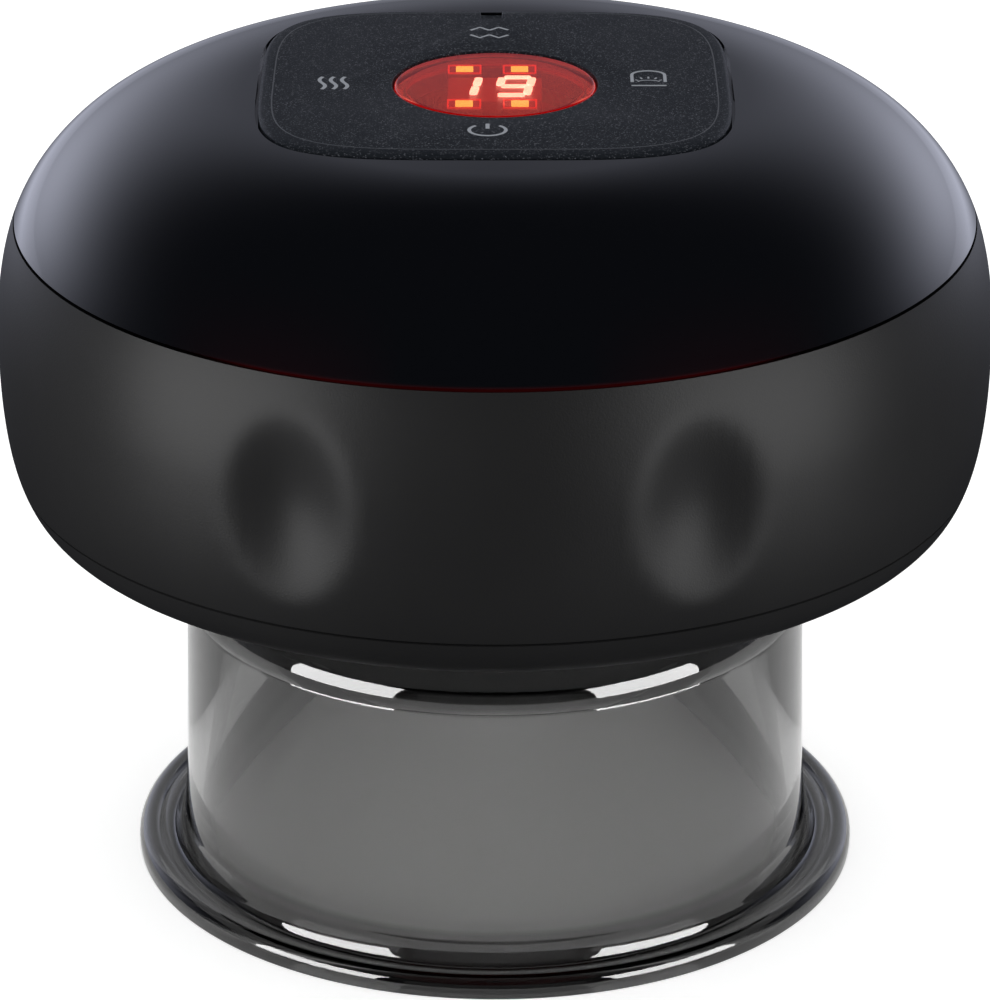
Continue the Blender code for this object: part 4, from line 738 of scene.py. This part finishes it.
# Dome of smoked gloss, with the panel's pocket, the window's opening and the keys' holes
def makeDome():
    look = {"inside": 81.8, "ceiling": 82.1, "keyHole": 2.6, "cutLow": 75}
    boss = {"place": 34, "radius": 3.0, "low": 80.1, "high": 82.6}
    tongue, gap = head["tongue"], head["gap"]
    outer = curvePoints(domeCurve, 44, 0, shareAt(domeCurve, head["seam"][1] + gap / 2))
    thick = head["wall"] + gap + tongue[0]
    inner = [p for p in insetPoints(outer, thick) if p[1] < look["inside"]]
    rim = (outer[-1][0] - head["wall"] - gap, insetPoints(outer, head["wall"])[-1][1])
    tip = (rim[0], rim[1] - tongue[1])
    section = [(0, head["crown"][1])] + outer + [rim, tip, (tip[0] - tongue[0], tip[1])]
    section += inner[::-1] + [(head["crown"][0], look["ceiling"]), (0, look["ceiling"])]
    dome = turnSection("domeCover", section, head["steps"], smooth=25)
    far = boss["place"]
    spots = ((far, 0), (0, far), (-far, 0), (0, -far))
    bosses = [roundRod("boss", boss["radius"], boss["low"], boss["high"], spot, 24) for spot in spots]
    size = [side + 2 * gap for side in panel["size"]]
    middle = (0, panel["y"])
    taken = [softBlock("pocket", size, panel["squareness"], panel["low"] - gap, cutTop, middle)]
    taken.append(roundRod("opening", window["ledge"], look["cutLow"], cutTop, (0, window["y"])))
    taken += [roundRod("keyHole", look["keyHole"], look["cutLow"], cutTop, spot, 32) for spot in keys]
    combine(dome, bosses, "UNION")
    combine(dome, taken, "DIFFERENCE")
    smoothFaces(dome, 25)
    return dress(dome, "head", "gloss_dome", ["dome_cover"])


makeDome()


# Touch panel: flat film with a sloped edge band, and its round window
def panelNotch():
    # The short slot at the film's rear edge
    rear = panel["y"] + panel["size"][1] / 2
    low = panel["top"] - notch["depth"]
    return roundBlock("notch", notch["size"], notch["corner"], low, cutTop, (notch["x"], rear))


def makePanel():
    middle, high = (0, panel["y"]), panel["top"] - panel["drop"]
    film = softBlock("touchPanel", panel["size"], panel["squareness"], panel["low"], high, middle)
    gentle, level = panel["slopes"]
    pickFaces(film, lambda face: face.normal.z > level)
    for width, share in zip((panel["round"], panel["band"]), panel["shares"]):
        bpy.ops.mesh.inset(thickness=width * mm, depth=panel["drop"] * share * mm)
    bpy.ops.object.mode_set(mode="OBJECT")
    combine(film, [roundRod("hole", window["radius"], 80, cutTop, (0, window["y"]), 128)], "DIFFERENCE")
    combine(film, [panelNotch()], "DIFFERENCE")
    film.data.materials.clear()
    film.data.materials.append(finishes["panel_film"])
    film.data.materials.append(panelFinish("panelBand", 12.0))
    for face in film.data.polygons:
        sloped = gentle < face.normal.z < level
        face.material_index = 1 if sloped and face.center.z > panel["bandLow"] * mm else 0
    softenEdges(film, panel["edge"], 25)
    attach(film, "head")
    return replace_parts(film, "touch_panel")


makePanel()


# Window: a red lens over the display
def makeLens():
    radius = window["radius"] - window["gap"]
    top, low, recess = window["top"], window["low"], window["recess"]
    plate = top - window["plate"]
    section = [(0, top)] + roundCorner((radius, top), window["edge"], 8)
    section += [(radius, low), (recess, low), (recess, plate), (0, plate)]
    lens = turnSection("windowLens", section, 128, smooth=35)
    shiftMesh(lens, (0, window["y"], 0))
    return dress(lens, "head", "red_window", ["window_lens"])


makeLens()
print("cupping massager: dome, panel and lens made")


# Display: round base with its digit block, four framed lamps and the lit figures
def makeDisplay():
    look = {"radius": 9.1, "low": 80.1, "floor": 81.1, "sunk": 0.2, "block": (9.6, 7.4), "top": 84.6}
    lit = 84.85
    lamp = {
        "spots": ((-3.15, -4.6), (2.55, -4.6), (-3.15, 6.2), (2.55, 6.2)),
        "border": (3.5, 2.7),
        "inside": (3.1, 2.3),
        "size": (1.8, 1.3),
        "step": 0.1,
    }
    middle, top = (0, window["y"]), look["top"]
    module = roundRod("displayModule", look["radius"], look["low"], look["floor"], middle, 64)
    low = look["floor"] - look["sunk"]
    raised = [roundBlock("block", look["block"], 0.5, low, top, middle, 4)]
    raised += [roundBlock("tower", lamp["border"], 0.2, low, top, spot, 3) for spot in lamp["spots"]]
    combine(module, raised, "UNION")
    softenEdges(module, 0.08, 40, 2)
    dress(module, "head", "display", ["display_module"])
    borders, lamps = [], []
    for spot in lamp["spots"]:
        border = roundBlock("lampFrame", lamp["border"], 0.2, top, lit - lamp["step"], spot, 3)
        inside = roundBlock("inside", lamp["inside"], 0.1, top - lamp["step"], lit, spot, 3)
        combine(border, [inside], "DIFFERENCE")
        borders.append(border)
        lamps.append(roundBlock("lamp", lamp["size"], 0.15, top, lit, spot, 3))
    lamps = joinPieces("amberLamps", lamps)
    softenEdges(lamps, 0.05, 40, 2)
    dress(lamps, "head", "display", finish=glowing("amberLamp"))
    dress(joinPieces("lampFrames", borders), "head", "display", finish=glowing("lampFrame"))
    makeFigures(top, lit)


def makeFigures(low, high):
    # Seven-stroke figures that lean a little
    figure = {
        "shown": (("1", -3.5), ("9", 2.0)),
        "y": 0.68,
        "lean": 0.125,
        "across": 1.55,
        "up": 1.38,
        "upright": (0.80, 2.1),
        "level": (0.55, 2.75),
        "cut": 0.2,
    }
    strokes = {"1": "bc", "9": "abcdfg"}
    places = {"a": (0, 2), "b": (1, 1), "c": (1, -1), "d": (0, -2), "f": (-1, 1), "g": (0, 0)}
    bars = []
    for name, centre in figure["shown"]:
        for stroke in strokes[name]:
            right, up = places[stroke]
            x = centre + right * figure["across"] + up * figure["up"] * figure["lean"]
            y = window["y"] + figure["y"] + up * figure["up"]
            size = figure["upright" if right else "level"]
            bar = roundBlock("bar", size, figure["cut"], low, high, (x, y), 1)
            selectMesh(bar)
            turn = figure["lean"] if right else math.pi / 2
            bpy.ops.transform.rotate(value=turn, orient_axis="Z", center_override=(x * mm, y * mm, 0))
            bpy.ops.object.mode_set(mode="OBJECT")
            bars.append(bar)
    digits = joinPieces("displayDigits", bars)
    dress(digits, "head", "display", finish=glowing("digitGlow"))


makeDisplay()
print("cupping massager: display lit")


# Key marks: thin prints on the film, and a painted highlight line along its band
def printLine(points, width):
    flat = 0.06
    drawLine([(x, y, panel["top"]) for x, y in points])
    bpy.ops.object.mode_set(mode="OBJECT")
    bpy.ops.object.convert(target="CURVE")
    curve = bpy.context.object
    curve.data.bevel_depth = width / 2 * mm
    curve.data.bevel_resolution = 3
    curve.data.use_fill_caps = True
    bpy.ops.object.convert(target="MESH")
    mark = bpy.context.object
    selectMesh(mark)
    bpy.ops.mesh.remove_doubles(threshold=weld / 2)
    bpy.ops.transform.resize(value=(1, 1, flat), center_override=(0, 0, panel["top"] * mm))
    bpy.ops.object.mode_set(mode="OBJECT")
    return mark


def around(middle, radii, angles):
    # Points of an ellipse, with the angles in degrees from the right
    turns = [math.radians(angle) for angle in angles]
    return [(middle[0] + radii[0] * math.cos(t), middle[1] + radii[1] * math.sin(t)) for t in turns]


def heatMark():
    look = {"middle": (-16.65, 0.2), "apart": 1.15, "sway": 0.32, "height": 3.9, "steps": 12, "width": 0.4}
    x, y = look["middle"]
    rise = [i / look["steps"] for i in range(look["steps"] + 1)]
    up = [y - look["height"] / 2 + look["height"] * t for t in rise]
    drawn = []
    for shift in (-look["apart"], 0, look["apart"]):
        across = [x + shift + look["sway"] * math.sin(2 * math.pi * t) for t in rise]
        drawn.append(printLine(zip(across, up), look["width"]))
    return drawn


def cupMark():
    look = {
        "middle": (15.85, 1.8),
        "side": 1.7,
        "low": 1.3,
        "high": 2.3,
        "crown": 1.3,
        "line": 0.34,
        "base": (0.1, 1.1),
        "baseLine": 0.36,
        "lamp": (1.1, 0.5),
        "lampLift": 0.1,
        "lampLine": 0.16,
        "rays": ((1.15, 0.9), (1.45, 1.5)),
        "rayLift": 0.2,
        "rayAngles": (20, 55, 90, 125, 160),
        "rayLine": 0.2,
    }
    x, y = look["middle"]
    left, right, low, high = x - look["side"], x + look["side"], y - look["low"], y + look["high"]
    crown = around((x, high - look["crown"]), (look["side"], look["crown"]), range(180, -1, -15))
    beyond, down = look["base"]
    drawn = [printLine([(left, low)] + crown + [(right, low)], look["line"])]
    drawn.append(printLine([(left - beyond, low - down), (right + beyond, low - down)], look["baseLine"]))
    lamp = around((x, low + look["lampLift"]), look["lamp"], range(0, 181, 20))
    drawn.append(printLine(lamp, look["lampLine"]))
    inner, outer = [around((x, low + look["rayLift"]), radii, look["rayAngles"]) for radii in look["rays"]]
    return drawn + [printLine(ray, look["rayLine"]) for ray in zip(inner, outer)]


def powerMark():
    look = {"middle": (-0.75, -14.4), "radii": (1.85, 1.7), "line": 0.36, "bar": (0.4, 1.9), "barLine": 0.4}
    x, y = look["middle"]
    ring = printLine(around(look["middle"], look["radii"], range(130, 411, 10)), look["line"])
    return [ring, printLine([(x, y + end) for end in look["bar"]], look["barLine"])]


def waveMark():
    look = {"middle": (-0.6, 16.75), "apart": 0.75, "line": 0.34}
    zigzag = ((-2.0, 0), (-1.0, 1.0), (-0.1, 0.1), (0.1, 0.1), (1.0, 1.0), (2.0, 0.1))
    x, y = look["middle"]
    drawn = []
    for side in (-1, 1):
        points = [(x + across, y + side * (look["apart"] + up)) for across, up in zigzag]
        drawn.append(printLine(points, look["line"]))
    return drawn


def makeMarks():
    marks = joinPieces("keyMarks", heatMark() + cupMark() + powerMark() + waveMark())
    look = {"drift": 700, "grain": 2000, "spread": 0.1, "height": 0.00001}
    ink = grained("markInk", (0.30, 0.32, 0.36), (0.36, 0.38, 0.42), 0.5, look)
    dress(marks, "head", "panel_film", finish=ink)
    # A fine, slightly brighter line along the film's inner edge: a painted highlight on the crease where the
    # sloped band meets the flat film
    inset = 2 * (panel["round"] + panel["band"])
    outline = softSquare([side - inset for side in panel["size"]], panel["squareness"], (0, panel["y"]))
    line = joinPieces("bandLine", [printLine(outline, panel["line"])])
    combine(line, [panelNotch()], "DIFFERENCE")
    ink = grained("paintedCreaseHighlight", (0.05, 0.055, 0.065), (0.08, 0.085, 0.10), 0.5, look)
    return dress(line, "head", "panel_film", finish=ink)


makeMarks()
print("cupping massager: key marks printed")


# Bottom cover: the head's underside with the socket that the cup's neck plugs into
def makeCover():
    tongue, gap, wall = head["tongue"], head["gap"], head["wall"]
    socket = {"radius": 29.3, "ceiling": 48.8, "wall": 2.0, "thick": 2.2, "floor": 2.0}
    lip = ((0.8, 0), (0.3, 0), (0, 0.3), (0, 0.8))
    lamp = {"opening": 18.5, "ledge": 1.0, "recess": 21.3}
    boss = {"radius": 3.5, "height": 2.0, "bore": 1.5, "recess": 2.6, "depth": 1.9}
    post = {"radius": 2.6, "bore": 1.35, "boreStart": 1}
    outer = curvePoints(lowerCurve, 14, shareAt(lowerCurve, head["coverSeam"] - gap / 2), 1)
    low = head["underside"][1]
    floor = low + socket["floor"]
    rim = (outer[0][0] - wall - gap, insetPoints(outer, wall)[0][1])
    inner = [p for p in insetPoints(outer, wall + gap + tongue[0])[1:] if p[0] > head["underside"][0]]
    radius, ceiling = socket["radius"], socket["ceiling"]
    top, back, ledge = ceiling + socket["thick"], radius + socket["wall"], ceiling + lamp["ledge"]
    section = outer + roundCorner((radius, low), lip, 6) + [(radius, ceiling)]
    section += [(lamp["opening"], ceiling), (lamp["opening"], ledge)]
    section += [(lamp["recess"], ledge), (lamp["recess"], top)]
    section += [(back, top), (back, floor), (inner[-1][0], floor)] + inner[::-1]
    inside, high = rim[0] - tongue[0], rim[1] + tongue[1]
    section += [(inside, rim[1]), (inside, high), (rim[0], high), rim]
    cover = turnSection("bottomCover", section, head["steps"], closed=True, smooth=25)
    added, taken = [], []
    for turn in screws["turns"]:
        spot = spotAt(screws["place"], turn)
        added.append(roundRod("boss", boss["radius"], floor - gap, floor + boss["height"], spot, 24))
        taken.append(roundRod("bore", boss["bore"], low - past, floor + boss["height"] + past, spot, 20))
        taken.append(roundRod("recess", boss["recess"], low - past, low + boss["depth"], spot, 40))
    for turn in posts["turns"]:
        spot = spotAt(posts["place"], turn)
        added.append(roundRod("post", post["radius"], floor - gap, top, spot, 24))
        taken.append(roundRod("bore", post["bore"], floor + post["boreStart"], top + past, spot, 20))
    combine(cover, added, "UNION")
    combine(cover, taken, "DIFFERENCE")
    smoothFaces(cover, 25)
    return dress(cover, "head", "matte_shell", ["bottom_cover"])


makeCover()
print("cupping massager: bottom cover made")


# Cup: neck, shoulder, wall, channel and rim of one clear moulding, then its seal
def makeCup():
    neck = {"radius": 27.6, "wall": 2.4, "top": 48.4, "grooveLow": 43.6, "grooveHigh": 46.6, "depth": 1.2}
    neckEdge = ((-0.5, 0), (-0.2, 0), (0, -0.2), (0, -0.5))
    wall = {"top": 32.97, "waist": 33.35, "foot": 33.5, "thick": 2.0, "shoulder": 29.6, "shoulderTop": 34.3}
    step = (0.1, 0.4)
    rim = {
        "radius": 38.8,
        "flare": 10.5,
        "flarePull": 2.3,
        "creasePull": (0.3, 5.9),
        "crease": (33.95, 4.3),
        "channelPulls": ((34.25, 3.4), (34.4, 1.6)),
        "channel": (35.2, 1.5),
        "risePull": 0.85,
        "crest": (37.2, 2.3),
        "crestPull": 38.2,
        "edgePull": 1.7,
        "edge": 0.7,
        "under": ((0, 0.3), (0, 0.1), (0, 0), (-0.2, 0)),
        "foot": ((1.2, 0), (0.4, 0), (0, 0.4), (0, 1.2)),
    }
    radius, gap = neck["radius"], head["gap"]
    groove, bore = radius - neck["depth"], radius - neck["wall"]
    section = roundCorner((radius, neck["top"]), neckEdge, 5)
    section += [(radius, neck["grooveHigh"]), (groove, neck["grooveHigh"])]
    section += [(groove, neck["grooveLow"]), (radius, neck["grooveLow"])]
    top, low, high = wall["top"], wall["shoulder"], wall["shoulderTop"]
    start = (radius, high + gap)
    shoulder = curvePoints((start, (radius + gap, high - gap), (top, high - gap), (top, low)), 24)
    section += shoulder + [(top - step[0], low - step[0]), (top, low - step[1])]
    waist, flare, pull = wall["waist"], rim["flare"], rim["creasePull"]
    handles = ((waist, flare - rim["flarePull"]), (waist + pull[0], pull[1]))
    section += curvePoints(((waist, flare), *handles, rim["crease"]), 14)
    section += curvePoints((rim["crease"], *rim["channelPulls"], rim["channel"]), 12)[1:]
    crest, edge = rim["crest"], (rim["radius"], rim["edge"])
    rise = crest[0] - rim["risePull"]
    section += curvePoints((rim["channel"], (rise, rim["channel"][1]), (rise, crest[1]), crest), 12)[1:]
    section += curvePoints((crest, (rim["crestPull"], crest[1]), (edge[0], rim["edgePull"]), edge), 12)[1:]
    section += roundCorner((rim["radius"], 0), rim["under"], 6)[1:]
    section += roundCorner((wall["foot"] - wall["thick"], 0), rim["foot"], 8)
    shelf = [p for p in insetPoints(shoulder, wall["thick"])[1:][::-1] if p[0] > bore + gap]
    section += shelf + [(bore, shelf[-1][1] + gap), (bore, neck["top"])]
    cup = turnSection("suctionCup", section, 192, closed=True, smooth=35)
    dress(cup, "cup", "smoked_cup", ["cup"])
    makeSeal(groove)


def makeSeal(groove):
    look = {"slack": 0.15, "outer": 29.0, "lip": 1.0, "low": 43.9, "high": 46.3}
    inner, outer, low, high = groove + look["slack"], look["outer"], look["low"], look["high"]
    start = outer - look["lip"]
    lip = curvePoints(((start, high), (outer, high), (outer, low), (start, low)), 12)
    seal = turnSection("sealRing", lip + [(inner, low), (inner, high)], 160, closed=True)
    dress(seal, "seal_ring", "seal_silicone", ["cup_seal"])


makeCup()
print("cupping massager: cup turned")


# Lamp window in the socket's ceiling, with a faint painted red glow
def makeLampWindow():
    look = {"outer": 21.0, "inner": 3.3, "low": 50.1, "high": 51.1, "edge": 0.12}
    outer, inner, low, high = look["outer"], look["inner"], look["low"], look["high"]
    section = [(outer, low), (outer, high), (inner, high), (inner, low)]
    ring = turnSection("lampWindow", section, 96, closed=True)
    softenEdges(ring, look["edge"], 40, 2)
    return dress(ring, "head", "red_window", ["lamp_window"], lensFinish("lampLens", lampLensPaintedGlow))


makeLampWindow()


# Underside screws with crosses
def makeScrews():
    look = {
        "radius": 2.3,
        "height": 1.5,
        "flat": 1.4,
        "corner": 0.4,
        "seat": 42.6,
        "shaft": 1.2,
        "length": 6.5,
        "slots": ((2.3, 0.5), (0.5, 2.3)),
        "slotCorner": 0.1,
        "slotDepth": 0.8,
    }
    radius, shaft, seat = look["radius"], look["shaft"], look["seat"]
    low, end = seat - look["height"], seat + look["length"]
    crown = curvePoints(((0.01, low), (look["flat"], low), (radius, low + look["corner"]), (radius, seat)), 8)
    section = [(0, low)] + crown[1:] + [(shaft, seat), (shaft, end), (0, end)]
    for i, turn in enumerate(screws["turns"]):
        spot = spotAt(screws["place"], turn)
        screw = turnSection(f"coverScrew{i + 1}", section, 32, smooth=35)
        shiftMesh(screw, (*spot, 0))
        cut = low + look["slotDepth"]
        corner = look["slotCorner"]
        slots = [roundBlock("slot", size, corner, low - past, cut, spot, 2) for size in look["slots"]]
        combine(screw, slots, "DIFFERENCE")
        dress(screw, "head", "zinc_steel", [f"cover_screw_{i + 1}"])


makeScrews()
print("cupping massager: screws made")


# Floor, light and camera: plain white paper, and behind the object a soft glow at each side for its gloss
studio = {
    "azimuth": 142,
    "spread": 28,
    "elevation": 9,
    "rise": 19,
    "glow": 1.5,
    "tint": (0.80, 0.83, 1.0, 1),
    "dark": 0.005,
    "fill": 0.80,
    "aim": 50,
}
white = (1, 1, 1, 1)
# Angles are in degrees, distances and sizes in metres
lights = {
    "cupLight": {"azimuth": 54, "elevation": 10, "distance": 0.3, "size": (0.22, 0.16), "level": 19.0},
    "cupBack": {"azimuth": 128, "elevation": 55, "distance": 0.4, "size": (0.50, 0.40), "level": 0.55},
    "nearLeft": {"azimuth": -54, "elevation": 7, "distance": 0.17, "size": (0.13, 0.13), "level": 7.0},
    "nearRight": {"azimuth": 51, "elevation": 7, "distance": 0.17, "size": (0.13, 0.13), "level": 6.0},
    "cupFront": {"azimuth": 0, "elevation": 5, "distance": 0.5, "size": (0.50, 0.30), "level": 0.20},
    "top": {"azimuth": 0, "elevation": 88, "distance": 0.9, "size": (0.8, 0.8), "level": 0.6},
}


def rayIs(wire, kind):
    return wire.make("ShaderNodeLightPath", {}, {}, f"Is {kind} Ray")


def shine(wire, kind, colour, strength):
    return wire.make(kind, {}, {"Color": colour, "Strength": strength})


def mixShaders(wire, share, first, second):
    return wire.make("ShaderNodeMixShader", {}, {0: share, 1: first, 2: second})


def besideGlow(wire, x, y):
    # How far to the side of the glow a direction lies, as a share of the glow's spread
    azimuth = wire.math("ARCTAN2", x.absolute(), 0.0 - y)
    return (azimuth - math.radians(studio["azimuth"])) / math.radians(studio["spread"])


def makeFloor():
    look = {"size": 12, "drop": 0.01, "paper": (0.80, 0.80, 0.80, 1), "white": 0.58, "foot": (0.0335, 0.0365)}
    gloss = {"share": 0.86, "near": 0.03, "away": (0.12, 0.60)}
    deselect()
    bpy.ops.mesh.primitive_plane_add(size=look["size"], location=(0, 0, -look["drop"] * mm))
    floor = settled("floor")
    material, wire = newMaterial("floorPaper")
    camera, through, mirror = [rayIs(wire, kind) for kind in ("Camera", "Transmission", "Singular")]
    x, y = axes(wire, objectPlace(wire))[:2]
    far = (x * x + y * y) ** 0.5
    # Where it is seen, the paper is lifted to white, but not under the cup: there it keeps only the light
    # that reaches it, so the mask paints a disk of shade the size of the cup's foot
    seen = camera.largest(through).largest(mirror) * far.steps(*look["foot"])
    inputs = {"Base Color": look["paper"], "Roughness": 0.9, "Specular IOR Level": 0.0}
    paper = wire.make("ShaderNodeBsdfPrincipled", {}, inputs)
    lifted = shine(wire, "ShaderNodeEmission", white, seen * look["white"])
    paper = wire.make("ShaderNodeAddShader", {}, {0: paper, 1: lifted})
    # In the object's gloss, the paper goes on with the glow behind it
    aside = besideGlow(wire, x, y)
    glow = (aside * aside).fading() * studio["glow"] * gloss["share"]
    strength = gloss["near"] + far.steps(*gloss["away"]) * glow
    mirrored = shine(wire, "ShaderNodeEmission", studio["tint"], strength)
    paper = mixShaders(wire, rayIs(wire, "Glossy") * (1 - mirror), paper, mirrored)
    # From below the paper is clear, so the underside can be looked at
    below = wire.make("ShaderNodeNewGeometry", {}, {}, "Backfacing")
    clear = wire.make("ShaderNodeBsdfTransparent", {}, {})
    paper = mixShaders(wire, below, paper, clear)
    joinOutput(material.node_tree, "ShaderNodeOutputMaterial", {"Surface": paper})
    floor.data.materials.append(material)


def makeWorld():
    world = bpy.data.worlds.new("studio")
    bpy.context.scene.world = world
    world.use_nodes = True
    world.node_tree.nodes.clear()
    wire = Wire(world.node_tree)
    x, y, z = axes(wire, wire.make("ShaderNodeTexCoord", {}, {}, "Generated"))
    aside = besideGlow(wire, x, y)
    height = wire.math("ARCSINE", z, 0.0)
    above = (height - math.radians(studio["elevation"])) / math.radians(studio["rise"])
    glow = (aside * aside + above * above).fading() * studio["glow"]
    plain = rayIs(wire, "Camera").largest(rayIs(wire, "Transmission"))
    lit = shine(wire, "ShaderNodeBackground", studio["tint"], glow + studio["dark"])
    fill = shine(wire, "ShaderNodeBackground", white, studio["fill"])
    bright = shine(wire, "ShaderNodeBackground", white, 1.0)
    background = mixShaders(wire, rayIs(wire, "Glossy"), fill, lit)
    background = mixShaders(wire, plain, background, bright)
    joinOutput(world.node_tree, "ShaderNodeOutputWorld", {"Surface": background})


def softbox(name, pieces, blockers=(), side=1):
    # A rectangle of light that faces the object; its level is how bright it looks
    look = lights[name]
    aim = Vector((0, 0, studio["aim"] * mm))
    a, e = math.radians(look["azimuth"] * side), math.radians(look["elevation"])
    away = Vector((math.sin(a) * math.cos(e), -math.cos(a) * math.cos(e), math.sin(e)))
    deselect()
    bpy.ops.object.light_add(type="AREA", location=aim + away * look["distance"])
    lamp = bpy.context.object
    lamp.name = name
    lamp.rotation_euler = away.to_track_quat("Z", "Y").to_euler()
    lamp.data.shape = "RECTANGLE"
    lamp.data.size, lamp.data.size_y = look["size"]
    lamp.data.energy = look["level"] * math.pi * look["size"][0] * look["size"][1]
    lamp.visible_camera = False
    lamp.light_linking.receiver_collection = group(name + "Lit", pieces)
    if blockers:
        lamp.light_linking.blocker_collection = group(name + "Shade", blockers)


def group(name, pieces):
    made = bpy.data.collections.new(name)
    for piece in pieces:
        made.objects.link(bpy.data.objects[piece])
    return made


def makeLights():
    matte, cup = ["housingShell", "bottomCover"], ["suctionCup"]
    for side in (-1, 1):
        softbox("cupLight", cup, cup, side)
        softbox("cupBack", cup, cup, side)
    softbox("nearLeft", matte)
    softbox("nearRight", matte)
    softbox("cupFront", cup, cup)
    softbox("top", ["floor"])


def placeCamera():
    look = {"place": (0, -0.5108, 0.2599), "pitch": 66.63, "lens": 188.0, "sensor": 36}
    bpy.ops.object.camera_add(location=look["place"], rotation=(math.radians(look["pitch"]), 0, 0))
    camera = bpy.context.object
    camera.data.lens = look["lens"]
    camera.data.sensor_width = look["sensor"]
    bpy.context.scene.camera = camera
    bpy.context.scene.view_settings.view_transform = "Standard"


makeFloor()
makeWorld()
makeLights()
placeCamera()
print("cupping massager: scene ready")
